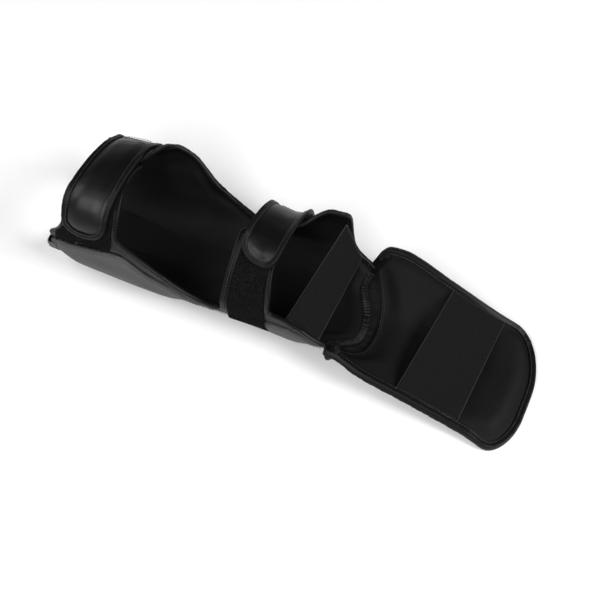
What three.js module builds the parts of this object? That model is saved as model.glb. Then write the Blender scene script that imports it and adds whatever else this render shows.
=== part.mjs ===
import * as THREE from 'three';

// A padded guard for the shin and the instep, lying on its padded front with the hollow upwards.
// Millimetres. X runs from the knee end to the toes, Y across the leg, Z up.

// Driving sizes
const shinLength = 369;
const instepLength = 207;
const calfHalfWidth = 73;
const ankleHalfWidth = 64;
const instepHalfWidth = 70;
const calfRingHeight = 155;
const ankleRingHeight = 113;
const instepEdgeRise = 50;
const ankleLift = 20;
const restDepth = 1.8;
const kneeEndBow = 17;
const hemBulge = 20;
const seamBow = 32;
const instepCornerRadius = 10;
const nearToeCorner = { depth: 30, width: 45 };
const farToeCorner = { depth: 46, width: 70 };

// Thicknesses
const shinPadThickness = 20;
const shinPadEdge = 7;
const instepPadThickness = 10;
const instepPadEdge = 2.5;
const wrapThickness = 2.4;
const instepLiningThickness = 1.6;
const patchThickness = 1.3;
const strapThickness = 5.5;
const strapEdge = 3;
const elasticThickness = 1.6;
const gussetThickness = 1.6;
const tapeThickness = 1;
const clearance = 0.3;
const tapeClearance = 0.8;

// Widths
const tapeWidth = 4.5;
const hemTapeWidth = 4.5;
const calfStrapWidth = 50;
const ankleStrapWidth = 44;
const shellSetback = 18;
const wingFillet = 9;
const wingTipRadius = 14;
const kneeFlareLength = 23;
const kneeFlareRise = 22;
const heelFlareLength = 12;
const heelFlareRise = 40;

// Where the wings and straps lie along the shin
const calfWingEnd = 113;
const nearAnkleWingStart = 220;
const nearAnkleWingEnd = 293;
const farAnkleWingStart = 230;
const farAnkleWingEnd = 338;
const calfStrapPlace = 70;
const ankleStrapPlace = 258;

// Where the elastics lie along the guard, and how wide they are at each side
const heelElasticNear = 330;
const heelElasticNearWidth = 39;
const heelElasticFar = 328;
const heelElasticFarWidth = 19;
const heelElasticTop = 117;
const heelElasticFoot = 84;
const instepElasticNear = 108;
const instepElasticNearWidth = 74;
const instepElasticFar = 119;
const instepElasticFarWidth = 65;

// The shin's cross sections. at and the edges are shares of the shin's length and the ring's height,
// toAnkle blends the calf's sizes into the ankle's, lift is a share of the ankle's lift.
const shinSections = [
  { at: 0.0, toAnkle: 0.3, lift: 0.26, waist: 0.54, crestShift: -0.45, nearPower: 2.6, nearEdge: 0.45, farEdge: 0.56 },
  { at: 0.1, toAnkle: 0.05, lift: 0.0, waist: 0.54, crestShift: -0.45, nearPower: 2.6, nearEdge: 0.62, farEdge: 0.68 },
  { at: 0.26, toAnkle: 0.0, lift: 0.0, waist: 0.54, crestShift: 0.0, nearPower: 2.6, nearEdge: 0.71, farEdge: 0.77 },
  { at: 0.31, toAnkle: 0.02, lift: 0.03, waist: 0.53, crestShift: 0.0, nearPower: 2.5, nearEdge: 0.7, farEdge: 0.75 },
  { at: 0.42, toAnkle: 0.14, lift: 0.1, waist: 0.52, crestShift: -0.05, nearPower: 2.2, nearEdge: 0.53, farEdge: 0.56 },
  { at: 0.51, toAnkle: 0.36, lift: 0.22, waist: 0.5, crestShift: -0.1, nearPower: 1.7, nearEdge: 0.38, farEdge: 0.42 },
  { at: 0.59, toAnkle: 0.6, lift: 0.36, waist: 0.49, crestShift: -0.1, nearPower: 1.3, nearEdge: 0.3, farEdge: 0.34 },
  { at: 0.7, toAnkle: 0.95, lift: 0.56, waist: 0.48, crestShift: -0.05, nearPower: 1.7, nearEdge: 0.42, farEdge: 0.42 },
  { at: 0.79, toAnkle: 1.0, lift: 0.7, waist: 0.47, crestShift: -0.05, nearPower: 2.6, nearEdge: 0.56, farEdge: 0.54 },
  { at: 0.88, toAnkle: 1.0, lift: 0.84, waist: 0.46, crestShift: -0.1, nearPower: 2.6, nearEdge: 0.46, farEdge: 0.54 },
  { at: 0.94, toAnkle: 1.0, lift: 0.94, waist: 0.46, crestShift: -0.1, nearPower: 2.6, nearEdge: 0.33, farEdge: 0.38 },
  { at: 1.0, toAnkle: 1.0, lift: 1.0, waist: 0.46, crestShift: -0.1, nearPower: 2.6, nearEdge: 0.28, farEdge: 0.24 },
];

// The lining's S-shaped end at the crease and the instep's curved start: at is the share of the way from
// the centre to an edge, reach a share of the hem's bulge or of the seam's bow.
const hemShape = [
  { at: -1.0, reach: -0.9 },
  { at: -0.72, reach: -0.35 },
  { at: -0.42, reach: 0.55 },
  { at: -0.1, reach: 0.7 },
  { at: 0.18, reach: 0.2 },
  { at: 0.45, reach: -0.3 },
  { at: 0.75, reach: -0.3 },
  { at: 1.0, reach: -0.25 },
];
const seamShape = [
  { at: -1.0, reach: 0.0 },
  { at: -0.6, reach: 0.76 },
  { at: -0.1, reach: 1.0 },
  { at: 0.25, reach: 0.9 },
  { at: 0.55, reach: 0.62 },
  { at: 0.8, reach: 0.32 },
  { at: 1.0, reach: 0.14 },
];

// The instep's cross sections: widths are shares of its half width, rises of the edge rise.
const instepSections = [
  { at: 0.0, lift: 1.0, nearWidth: 0.93, nearRise: 0.6, farWidth: 1.03, farRise: 1.0 },
  { at: 0.14, lift: 0.82, nearWidth: 0.94, nearRise: 0.54, farWidth: 1.05, farRise: 1.06 },
  { at: 0.4, lift: 0.55, nearWidth: 0.94, nearRise: 0.42, farWidth: 1.03, farRise: 0.84 },
  { at: 0.75, lift: 0.22, nearWidth: 0.97, nearRise: 0.24, farWidth: 0.98, farRise: 0.28 },
  { at: 0.9, lift: 0.15, nearWidth: 1.08, nearRise: 0.08, farWidth: 1.04, farRise: 0.09 },
  { at: 1.0, lift: 0.15, nearWidth: 1.1, nearRise: 0.05, farWidth: 1.04, farRise: 0.06 },
];

// The section's corner shapes, as superellipse powers
const lowerPower = 2.6;
const farUpperPower = 2.0;
const troughPower = 2.6;

const mix = (a, b, t) => a + (b - a) * t;
const clamp01 = (t) => Math.min(Math.max(t, 0), 1);
const smooth = (t) => clamp01(t) ** 2 * (3 - 2 * clamp01(t));
const radians = (angle) => (angle * Math.PI) / 180;
const degrees = (angle) => (angle * 180) / Math.PI;

// A smooth curve through one column of a table.
function sample(rows, column, at) {
  const last = rows.length - 1;
  if (at <= rows[0].at) return rows[0][column];
  if (at >= rows[last].at) return rows[last][column];
  let i = 0;
  while (at > rows[i + 1].at) i += 1;
  const slope = (k) => {
    const before = rows[Math.max(k - 1, 0)];
    const after = rows[Math.min(k + 1, last)];
    return (after[column] - before[column]) / (after.at - before.at);
  };
  const step = rows[i + 1].at - rows[i].at;
  const t = (at - rows[i].at) / step;
  const ease = t * t * (3 - 2 * t);
  const start = slope(i) * step * t * (1 - t) ** 2;
  const end = slope(i + 1) * step * t * t * (t - 1);
  return mix(rows[i][column], rows[i + 1][column], ease) + start + end;
}

// The closed ring that the shin's shell, wings and straps follow at x.
function shinRing(x) {
  const at = x / shinLength;
  const toAnkle = sample(shinSections, 'toAnkle', at);
  const width = mix(calfHalfWidth, ankleHalfWidth, toAnkle);
  const height = mix(calfRingHeight, ankleRingHeight, toAnkle);
  return {
    bottom: sample(shinSections, 'lift', at) * ankleLift,
    width,
    height,
    waist: sample(shinSections, 'waist', at) * height,
    crestShift: sample(shinSections, 'crestShift', at) * width,
    nearPower: sample(shinSections, 'nearPower', at),
  };
}

// A point of a ring. The angle is 0 at the bottom, 90 at the widest place and 180 at the crest,
// negative on the near side. The bottom is pressed flat by the floor that it lies on.
function ringOutline(ring, angle) {
  let turn = angle;
  if (turn > 180) turn -= 360;
  if (turn < -180) turn += 360;
  const side = Math.sign(turn) || 1;
  const across = Math.abs(Math.sin(radians(turn)));
  const up = Math.cos(radians(turn));
  if (up > 0) {
    const z = ring.bottom + ring.waist * (1 - up ** (2 / lowerPower)) - restDepth;
    return [side * ring.width * across ** (2 / lowerPower), Math.max(z, 0)];
  }
  const power = side < 0 ? ring.nearPower : farUpperPower;
  const reach = side * ring.width - ring.crestShift;
  const z = ring.bottom + ring.waist + (ring.height - ring.waist) * (-up) ** (2 / power) - restDepth;
  return [ring.crestShift + reach * across ** (2 / power), z];
}

// A point on the shin at a depth under the ring's outside, measured inwards.
function shinPoint(x, angle, depth) {
  const ring = shinRing(x);
  const [y, z] = ringOutline(ring, angle);
  const [yBefore, zBefore] = ringOutline(ring, angle - 1);
  const [yAfter, zAfter] = ringOutline(ring, angle + 1);
  const length = Math.hypot(yAfter - yBefore, zAfter - zBefore);
  const inY = -(zAfter - zBefore) / length;
  const inZ = (yAfter - yBefore) / length;
  return new THREE.Vector3(x, y + inY * depth, z + inZ * depth);
}

// Millimetres along the ring for one degree of its angle.
function shinDegree(x, angle) {
  const ring = shinRing(x);
  const [yBefore, zBefore] = ringOutline(ring, angle - 4);
  const [yAfter, zAfter] = ringOutline(ring, angle + 4);
  return Math.hypot(yAfter - yBefore, zAfter - zBefore) / 8;
}

// The angle at which the ring's side reaches a height above the ring's bottom.
function angleAtHeight(x, height, side) {
  const ring = shinRing(x);
  if (height < ring.waist) {
    return side * degrees(Math.acos((1 - height / ring.waist) ** (lowerPower / 2)));
  }
  const power = side < 0 ? ring.nearPower : farUpperPower;
  const share = clamp01((height - ring.waist) / (ring.height - ring.waist));
  return side * (90 + degrees(Math.asin(share ** (power / 2))));
}

// The angle of the lining's low edge, and of the shell's top edge under it.
function edgeAngle(x, side) {
  const column = side < 0 ? 'nearEdge' : 'farEdge';
  const height = sample(shinSections, column, x / shinLength) * shinRing(x).height;
  return angleAtHeight(x, height, side);
}

function shellAngle(x, side) {
  const edge = edgeAngle(x, side);
  return edge - (side * shellSetback) / shinDegree(x, edge);
}

// The pad's thickness: full in front, thin along its edges and at both ends.
function shinPadDepth(x, angle) {
  const share = Math.abs(angle / shellAngle(x, Math.sign(angle) || 1));
  const crown = 1 - clamp01(share) ** 3;
  const kneeTaper = mix(0.15, 1, smooth((x - tapeWidth - 2) / 28));
  const ankleTaper = mix(0.35, 1, smooth((padEnd - x) / 50));
  return mix(shinPadEdge, shinPadThickness, crown * kneeTaper * ankleTaper);
}

// The lining's outer face: on the pad below the shell's top edge, and out at the ring above it.
const wingDepth = tapeClearance * 2 + tapeThickness;
const rimStart = shellSetback - tapeWidth - 2;
function wrapDepth(x, angle) {
  const side = Math.sign(angle) || 1;
  const shell = Math.abs(shellAngle(x, side));
  const above = (Math.abs(angle) - shell) * shinDegree(x, shell * side);
  const seated = shinPadDepth(x, angle) + clearance;
  return mix(seated, wingDepth, smooth((above - 1) / (rimStart - 1)));
}

// Near wing tips tuck inwards under the far ones; the far ankle wing flares out past its strap.
const tuckStart = 172;
const tuckTurn = 34;
const tuckDepth = 10;
const flareDepth = 24;
const flareStart = 86;
const flareTurn = 46;
function wingShape(x, angle) {
  if (angle < 0) return tuckDepth * smooth((-angle - tuckStart) / tuckTurn);
  const pastStrap = clamp01((x - nearAnkleWingEnd + wingFillet) / ankleStrapWidth);
  return -flareDepth * pastStrap * smooth((angle - flareStart) / flareTurn);
}

function wrapOuter(x, angle) {
  return wrapDepth(x, angle) + wingShape(x, angle);
}

function wrapInner(x, angle) {
  return wrapOuter(x, angle) + wrapThickness;
}

// The front pad stops short of the crease, so that the guard can bend there.
const padEnd = shinLength - 14;

const kneeShift = (x, share) => kneeEndBow * share ** 4 * (1 - smooth(x / 70));
const hemShift = (x, across) => {
  return hemBulge * sample(hemShape, 'reach', across) * smooth((x - shinLength * 0.84) / (shinLength * 0.16));
};

// A flat pattern of four-sided cells, cut along u (length) and v (across), which is bent to a surface.
class Pattern {
  constructor() {
    this.points = [];
    this.cells = [];
    this.tags = [];
  }

  add(u, v, tag = '') {
    this.points.push([u, v]);
    this.tags.push(tag);
    return this.points.length - 1;
  }

  join(rows) {
    for (let i = 0; i + 1 < rows.length; i += 1) {
      for (let j = 0; j + 1 < rows[i].length; j += 1) {
        this.cells.push([rows[i][j], rows[i + 1][j], rows[i + 1][j + 1], rows[i][j + 1]]);
      }
    }
  }

  // The pattern's outline as directed edges, chained from a start.
  outline() {
    const edges = new Map();
    for (const cell of this.cells) {
      cell.forEach((a, i) => edges.set(`${a},${cell[(i + 1) % 4]}`, [a, cell[(i + 1) % 4]]));
    }
    const next = new Map();
    for (const [a, b] of edges.values()) {
      if (!edges.has(`${b},${a}`)) next.set(a, b);
    }
    const start = next.keys().next().value;
    const loop = [start];
    while (next.get(loop[loop.length - 1]) !== start) loop.push(next.get(loop[loop.length - 1]));
    return loop;
  }

  // The stretches of the outline whose edges carry a tag at both ends, or at neither.
  stretches(isPart) {
    const loop = this.outline();
    const keep = loop.map((a, i) => isPart(this.tags[a], this.tags[loop[(i + 1) % loop.length]]));
    const first = keep.findIndex((kept, i) => kept && !keep[(i + loop.length - 1) % loop.length]);
    if (first < 0) return [loop];
    const found = [];
    for (let n = 0; n < loop.length; n += 1) {
      const i = (first + n) % loop.length;
      if (!keep[i]) continue;
      if (!keep[(i + loop.length - 1) % loop.length]) found.push([loop[i]]);
      found[found.length - 1].push(loop[(i + 1) % loop.length]);
    }
    return found;
  }
}

// A closed geometry from vertices and polygons, turned so that its faces point out.
function solid(vertices, polygons) {
  const index = [];
  for (const face of polygons) {
    for (let k = 1; k + 1 < face.length; k += 1) index.push(face[0], face[k], face[k + 1]);
  }
  let volume = 0;
  for (let k = 0; k < index.length; k += 3) {
    const [a, b, c] = [vertices[index[k]], vertices[index[k + 1]], vertices[index[k + 2]]];
    volume += a.dot(new THREE.Vector3().crossVectors(b, c));
  }
  if (volume < 0) index.reverse();
  const geometry = new THREE.BufferGeometry().setFromPoints(vertices);
  geometry.setIndex(index);
  geometry.computeVertexNormals();
  return geometry;
}

// A wall of cloth or padding: the pattern bent at two depths and closed along its outline.
function sheet(pattern, bend, outerDepth, innerDepth) {
  const count = pattern.points.length;
  const outer = pattern.points.map(([u, v]) => bend(u, v, outerDepth(u, v)));
  const inner = pattern.points.map(([u, v]) => bend(u, v, innerDepth(u, v)));
  const faces = [];
  for (const cell of pattern.cells) {
    faces.push(cell);
    faces.push([cell[0], cell[3], cell[2], cell[1]].map((i) => i + count));
  }
  const loop = pattern.outline();
  loop.forEach((a, i) => {
    const b = loop[(i + 1) % loop.length];
    faces.push([b, a, a + count, b + count]);
  });
  return solid([...outer, ...inner], faces);
}

// Tape folded over an edge: a channel section carried along a path of the pattern's outline.
// The pattern's material lies to the left of the path.
function edging(path, bend, unit, outerDepth, innerDepth, closed, width = tapeWidth) {
  const count = path.length;
  const vertices = [];
  const far = tapeClearance + tapeThickness;
  for (let i = 0; i < count; i += 1) {
    const [u, v] = path[i];
    const before = path[closed ? (i + count - 1) % count : Math.max(i - 1, 0)];
    const after = path[closed ? (i + 1) % count : Math.min(i + 1, count - 1)];
    const scale = unit(u, v);
    const du = after[0] - before[0];
    const dv = (after[1] - before[1]) * scale;
    const length = Math.hypot(du, dv);
    const at = (inset) => [u - (dv / length) * inset, v + ((du / length) * inset) / scale];
    const place = (inset, face, depth) => {
      const [pu, pv] = at(inset);
      const [su, sv] = inset < 0 ? [u, v] : [pu, pv];
      return bend(pu, pv, (face < 0 ? outerDepth(su, sv) : innerDepth(su, sv)) + face * depth);
    };
    vertices.push(
      place(width, -1, far),
      place(-far, -1, far),
      place(-far, 1, far),
      place(width, 1, far),
      place(width, 1, tapeClearance),
      place(-tapeClearance, 1, tapeClearance),
      place(-tapeClearance, -1, tapeClearance),
      place(width, -1, tapeClearance),
    );
  }
  const faces = [];
  const rings = closed ? count : count - 1;
  for (let i = 0; i < rings; i += 1) {
    const a = i * 8;
    const b = ((i + 1) % count) * 8;
    for (let k = 0; k < 8; k += 1) {
      const n = (k + 1) % 8;
      faces.push([a + k, b + k, b + n, a + n]);
    }
  }
  if (!closed) {
    const z = (count - 1) * 8;
    for (const [p, q, r, s] of [[0, 1, 6, 7], [1, 2, 5, 6], [2, 3, 4, 5]]) {
      faces.push([p, q, r, s]);
      faces.push([z + s, z + r, z + q, z + p]);
    }
  }
  return solid(vertices, faces);
}

// A thin slab on a grid of points, half its thickness to each side.
function slab(grid, thickness) {
  const rows = grid.length;
  const columns = grid[0].length;
  const outer = [];
  const inner = [];
  for (let i = 0; i < rows; i += 1) {
    for (let j = 0; j < columns; j += 1) {
      const along = grid[Math.min(i + 1, rows - 1)][j].clone().sub(grid[Math.max(i - 1, 0)][j]);
      const across = grid[i][Math.min(j + 1, columns - 1)].clone().sub(grid[i][Math.max(j - 1, 0)]);
      const normal = along.cross(across).normalize().multiplyScalar(thickness / 2);
      outer.push(grid[i][j].clone().add(normal));
      inner.push(grid[i][j].clone().sub(normal));
    }
  }
  const pattern = new Pattern();
  const ids = grid.map((row, i) => row.map((_, j) => pattern.add(i, j)));
  pattern.join(ids);
  const faces = pattern.cells.flatMap((cell) => [cell, [...cell].reverse().map((k) => k + outer.length)]);
  const loop = pattern.outline();
  loop.forEach((a, i) => {
    const b = loop[(i + 1) % loop.length];
    faces.push([b, a, a + outer.length, b + outer.length]);
  });
  return solid([...outer, ...inner], faces);
}

// Evenly spaced values with a number of steps between marked places.
function stations(marks, steps) {
  const list = [marks[0]];
  for (let i = 0; i + 1 < marks.length; i += 1) {
    for (let k = 1; k <= steps[i]; k += 1) list.push(mix(marks[i], marks[i + 1], k / steps[i]));
  }
  return list;
}

// The shin's stations, with one at each end of each wing and one beside it for the tape.
const shinMarks = [
  0, tapeWidth + 2, calfWingEnd - wingFillet, calfWingEnd, nearAnkleWingStart, farAnkleWingStart,
  farAnkleWingStart + wingFillet, nearAnkleWingEnd - wingFillet, nearAnkleWingEnd,
  farAnkleWingEnd - wingFillet, farAnkleWingEnd, padEnd, shinLength,
];
const shinStations = stations(shinMarks, [1, 5, 1, 5, 1, 1, 2, 1, 2, 1, 1, 1]);

// A trough from its near edge to its far one. Pad and lining share their rows up to the shell's top edge.
function troughPattern(list, rim) {
  const pattern = new Pattern();
  const rows = list.map((x, i) => {
    const tag = i === 0 ? 'knee' : i === list.length - 1 ? 'hem' : '';
    const half = (side) => {
      const shell = shellAngle(x, side) / edgeAngle(x, side);
      const shares = [0, 0.14, 0.33, 0.52, 0.7, 0.86, 1, ...rim.map((way) => 1 + way)];
      return shares.map((share) => {
        const across = side * (share > 1 ? mix(shell, 1, share - 1) : share * shell);
        const u = x + kneeShift(x, across) + hemShift(x, across);
        const low = shellAngle(u, side);
        return [u, share > 1 ? mix(low, edgeAngle(u, side), share - 1) : share * low];
      });
    };
    const line = [...half(-1).reverse(), ...half(1).slice(1)];
    return line.map(([u, v]) => pattern.add(u, v, tag));
  });
  pattern.join(rows);
  return { pattern, rows };
}

const shinPad = troughPattern(shinStations.filter((x) => x < padEnd + 1), []);
const shinPadPattern = shinPad.pattern;

// The lining, with its wings grown from the low edges.
const margin = rimStart / shellSetback;
const wrap = troughPattern(shinStations, [margin / 2, margin, 1]);

// How far an elliptic corner has still to run at a height, as a share of its length.
const cornerLeft = (height, rise) => 1 - Math.sqrt(1 - clamp01(1 - height / rise) ** 2);

// A wing: rows of cells from the low edge at the marked stations up to a tip with round corners.
function addWing({ side, start, end, tipAngle, flare, flareRise, toeFlare, toeRise }) {
  const { pattern, rows } = wrap;
  const edge = side < 0 ? 0 : rows[0].length - 1;
  const base = rows.map((row) => row[edge]).filter((id, i) => {
    return shinStations[i] > start - 0.01 && shinStations[i] < end + 0.01;
  });
  const first = pattern.points[base[0]][0];
  const last = pattern.points[base[base.length - 1]][0];
  const middle = (start + end) / 2;
  const tip = side * tipAngle;
  const reach = Math.abs(tip - edgeAngle(middle, side)) * shinDegree(middle, side * 120);
  const heights = [0.13, 0.5, 1].map((share) => share * wingFillet);
  const straight = [0.2, 0.4, 0.6, 0.8, 1].map((share) => {
    return mix(wingFillet, reach - wingTipRadius, share);
  });
  const round = [0.45, 0.82, 1].map((share) => reach - wingTipRadius + share * wingTipRadius);
  const grid = [base];
  for (const height of [...heights, ...straight, ...round]) {
    const tipTurn = wingTipRadius * cornerLeft(reach - height, wingTipRadius);
    const left = first + flare * (1 - cornerLeft(height, flareRise)) + tipTurn;
    const right = last - toeFlare * (1 - cornerLeft(height, toeRise)) - tipTurn;
    grid.push(base.map((id) => {
      const u = mix(left, right, (pattern.points[id][0] - first) / (last - first));
      return pattern.add(u, mix(edgeAngle(u, side), tip, height / reach));
    }));
  }
  pattern.join(side < 0 ? grid : grid.reverse());
}

const nearCalfTip = 208;
const farCalfTip = 163;
const nearAnkleTip = 192;
const farAnkleTip = 128;
const fillets = { flare: wingFillet, flareRise: wingFillet, toeFlare: wingFillet, toeRise: wingFillet };
const calfWing = { ...fillets, start: 0, end: calfWingEnd, flare: kneeFlareLength, flareRise: kneeFlareRise };
const nearAnkleWing = { ...fillets, start: nearAnkleWingStart, end: nearAnkleWingEnd };
const farAnkleWing = { ...fillets, start: farAnkleWingStart, end: farAnkleWingEnd };
addWing({ ...calfWing, side: -1, tipAngle: nearCalfTip });
addWing({ ...calfWing, side: 1, tipAngle: farCalfTip });
addWing({ ...nearAnkleWing, side: -1, tipAngle: nearAnkleTip });
addWing({ ...farAnkleWing, side: 1, tipAngle: farAnkleTip, toeFlare: heelFlareLength, toeRise: heelFlareRise });

// A loop patch on a near wing, between its tapes. Over the shell it lies outside the pad.
const patchSide = tapeWidth + 2;
const patchSeat = 0.8;
const patchOuter = (x, angle) => patchInner(x, angle) - patchThickness;
function patchInner(x, angle) {
  const above = (Math.abs(angle) - Math.abs(shellAngle(x, -1))) * shinDegree(x, angle);
  return mix(-patchSeat, wingDepth - patchSeat, smooth((above - 2) / rimStart));
}

function loopPatch(start, end, lowAngle, highAngle, lowSpread) {
  const pattern = new Pattern();
  const rows = stations([0, 1], [3]).map((along) => {
    return stations([0, 1], [12]).map((share) => {
      const spread = lowSpread * along * smooth((0.3 - share) / 0.3);
      const x = mix(start, end, along) + spread;
      return pattern.add(x, mix(lowAngle(x), highAngle, share));
    });
  });
  pattern.join(rows);
  return sheet(pattern, shinPoint, patchOuter, patchInner);
}

// A strap: sewn to the far wing, over the top and down the near side to a round end.
const foldDepth = tapeClearance + tapeThickness;
const strapSeat = patchSeat + patchThickness - wingDepth + foldDepth + 1.6;
const rootSeat = foldDepth * 2 + clearance - wingDepth;
function strapPattern(place, width, endAngle, rootAngle) {
  const pattern = new Pattern();
  const half = width / 2;
  const degree = shinDegree(place, endAngle);
  const turn = (half * 0.9) / degree;
  const round = [0.0, 0.06, 0.2, 0.42, 0.7, 1.0].map((share) => endAngle - share * turn);
  const angles = [...round, ...stations([endAngle - turn, rootAngle], [11]).slice(1)];
  const rows = angles.map((angle) => {
    const run = clamp01(1 - (endAngle - angle) / turn);
    const reach = half * Math.max((1 - run ** 2.4) ** (1 / 2.4), 0.22);
    const margin = Math.max(1 - tapeWidth / half, 0.4);
    return [-1, -margin, 0, margin, 1].map((share) => pattern.add(place + share * reach, angle));
  });
  pattern.join(rows);
  return pattern;
}

function strapPiece(name, place, width, endAngle, rootAngle) {
  const pattern = strapPattern(place, width, endAngle, rootAngle);
  const inner = (x, angle) => -mix(strapSeat, rootSeat, smooth((rootAngle + 24 - angle) / 20));
  const outer = (x, angle) => {
    const crown = 1 - clamp01(Math.abs(x - place) / (width / 2)) ** 4;
    return inner(x, angle) - mix(strapEdge, strapThickness, crown);
  };
  addPiece(name, sheet(pattern, shinPoint, outer, inner), strapBlack, 0.3);
  const root = pattern.points.filter(([, v]) => v === rootAngle).length;
  pattern.tags = pattern.points.map(([, v]) => (v === rootAngle ? 'root' : ''));
  const path = pathOf(pattern, pattern.stretches((a, b) => root === 0 || !both('root')(a, b))[0]);
  addPiece(`${name}_binding`, edging(path, shinPoint, shinDegree, outer, inner, false), tapeBlack, 0.4);
}

// The instep plate: x along the guard, t from -1 at the near edge to 1 at the far one.
function instepSection(x) {
  const at = (x - shinLength) / instepLength;
  const read = (column) => sample(instepSections, column, at);
  return {
    lift: read('lift') * ankleLift,
    near: { width: read('nearWidth') * instepHalfWidth, rise: read('nearRise') * instepEdgeRise },
    far: { width: read('farWidth') * instepHalfWidth, rise: read('farRise') * instepEdgeRise },
  };
}

function instepPoint(x, t, depth) {
  const section = instepSection(x);
  const part = t < 0 ? section.near : section.far;
  const steep = (part.rise * troughPower * Math.abs(t) ** (troughPower - 1)) / part.width;
  const length = Math.hypot(1, steep);
  const y = t * part.width - (Math.sign(t) * steep * depth) / length;
  const low = section.lift + part.rise * Math.abs(t) ** troughPower - restDepth;
  return new THREE.Vector3(x, y, Math.max(low, tapeClearance + tapeThickness) + depth / length);
}

function instepUnit(x, t) {
  const section = instepSection(x);
  return t < 0 ? section.near.width : section.far.width;
}

const creaseX = shinLength - 8;
const toeX = shinLength + instepLength;
const seamX = (t) => creaseX + seamBow * sample(seamShape, 'reach', t);
function instepRun(t) {
  const edge = instepHalfWidth * (1 - Math.abs(t));
  const start = seamX(t) + instepCornerRadius * cornerLeft(edge, instepCornerRadius);
  const corner = t < 0 ? nearToeCorner : farToeCorner;
  const end = toeX - corner.depth * cornerLeft(edge, corner.width);
  return [start, end];
}

const instepPattern = new Pattern();
const instepAcross = stations([-90, 90], [16]).map((angle) => Math.sin(radians(angle)));
const instepAlong = [0, 0.045, 0.14, 0.25, 0.37, 0.49, 0.61, 0.73, 0.84, 0.92, 0.965, 1];
const instepRows = instepAlong.map((share, i) => {
  return instepAcross.map((t) => {
    const [start, end] = instepRun(t);
    const tag = i === 0 && Math.abs(t) < 0.9 ? 'seam' : '';
    return instepPattern.add(mix(start, end, share), t, tag);
  });
});
instepPattern.join(instepRows);

function instepPadDepth(x, t) {
  const crown = 1 - Math.abs(t) ** 4;
  const creaseTaper = mix(0.2, 1, smooth((x - seamX(t)) / 30));
  const toeTaper = mix(0.1, 1, smooth((instepRun(t)[1] - x) / 30));
  return mix(instepPadEdge, instepPadThickness, crown * creaseTaper * toeTaper);
}
const liningOuter = (x, t) => instepPadDepth(x, t) + clearance;
const liningInner = (x, t) => liningOuter(x, t) + instepLiningThickness;
const bindingInner = (x, t) => liningInner(x, t) + 0.15;

// The gusset: from under the lining's hem down to the instep plate's edge.
const padRim = shinPad.rows[shinPad.rows.length - 1].map((id) => shinPadPattern.points[id]);
function padEndAt(t) {
  const place = ((t + 1) / 2) * (padRim.length - 1);
  const i = Math.min(Math.floor(place), padRim.length - 2);
  return [0, 1].map((k) => mix(padRim[i][k], padRim[i + 1][k], place - i));
}

function gussetGrid() {
  const rows = stations([-0.78, 0.62], [10]).map((t) => {
    const [x, angle] = padEndAt(t);
    const upper = shinPoint(x + 1.1, angle, shinPadDepth(padEnd, angle) - gussetThickness);
    const lower = instepPoint(seamX(t) - clearance - 0.4, t, instepPadDepth(seamX(t), t) * 0.55);
    return [0, 0.35, 0.7, 1].map((share) => {
      const point = upper.clone().lerp(lower, share);
      point.z -= 3 * Math.sin(Math.PI * share);
      return point;
    });
  });
  return rows;
}

// Elastic bands: sewn to the lining beside a tape or on top of it, and straight across between.
const endSeat = elasticThickness / 2 + 4 * clearance;
const bandSeat = foldDepth + elasticThickness / 2 + 2 * clearance;
const sewnInset = tapeWidth + 4;
function bandGrid(nearEnd, farEnd, across) {
  return stations([0, 1], [4]).map((share) => {
    const from = nearEnd(share);
    const to = farEnd(share);
    return across.map((way) => from.clone().lerp(to, way));
  });
}

function nearHeelEnd(share) {
  const x = heelElasticNear + (share - 0.5) * heelElasticNearWidth;
  const angle = edgeAngle(x, -1) + sewnInset / shinDegree(x, edgeAngle(x, -1));
  return shinPoint(x, angle, wrapInner(x, angle) + endSeat);
}

function farHeelEnd(share) {
  const x = heelElasticFar + (share - 0.5) * heelElasticFarWidth;
  const angle = mix(heelElasticTop, heelElasticFoot, share);
  return shinPoint(x, angle, wrapInner(x, angle) + bandSeat);
}

function instepEnd(side, place, width) {
  return (share) => {
    const x = shinLength + place + (share - 0.5) * width;
    const t = side * (1 - (tapeWidth - 1.5) / instepUnit(x, side));
    return instepPoint(x, t, bindingInner(x, t) + bandSeat);
  };
}

const guard = new THREE.Group();
guard.name = 'shin_and_instep_guard';
function addPiece(name, geometry, colour, roughness) {
  const material = new THREE.MeshStandardMaterial({ color: colour, roughness, metalness: 0 });
  const piece = new THREE.Mesh(geometry, material);
  piece.name = name;
  guard.add(piece);
}

const shellGrey = 0x58585a;
const liningBlack = 0x141415;
const tapeBlack = 0x1b1b1c;
const loopBlack = 0x101011;
const strapBlack = 0x1c1c1e;
const elasticGrey = 0x2e2e30;

const flat = () => 0;
addPiece('shin_pad', sheet(shinPadPattern, shinPoint, flat, shinPadDepth), shellGrey, 0.6);
addPiece('shin_wrap', sheet(wrap.pattern, shinPoint, wrapOuter, wrapInner), liningBlack, 0.45);

// The tapes around the lining: a grey one at the knee end over pad and lining, a black one along each
// side, and the stitched hem at the crease.
const pathOf = (pattern, ids) => ids.map((id) => pattern.points[id]);
const both = (name) => (a, b) => a === name && b === name;
const free = (a, b) => !both('knee')(a, b) && !both('hem')(a, b);
for (const ids of wrap.pattern.stretches(free)) {
  const path = pathOf(wrap.pattern, ids);
  const name = path[1][1] < 0 ? 'near_edge_binding' : 'far_edge_binding';
  addPiece(name, edging(path, shinPoint, shinDegree, wrapOuter, wrapInner, false), tapeBlack, 0.4);
}
const kneePath = pathOf(shinPadPattern, shinPadPattern.stretches(both('knee'))[0]);
const kneeInner = (x, angle) => wrapInner(x, angle) + 0.15;
addPiece('knee_end_binding', edging(kneePath, shinPoint, shinDegree, flat, kneeInner, false), shellGrey, 0.6);
const hemPath = pathOf(wrap.pattern, wrap.pattern.stretches(both('hem'))[0]).slice(1, -1);
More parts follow.
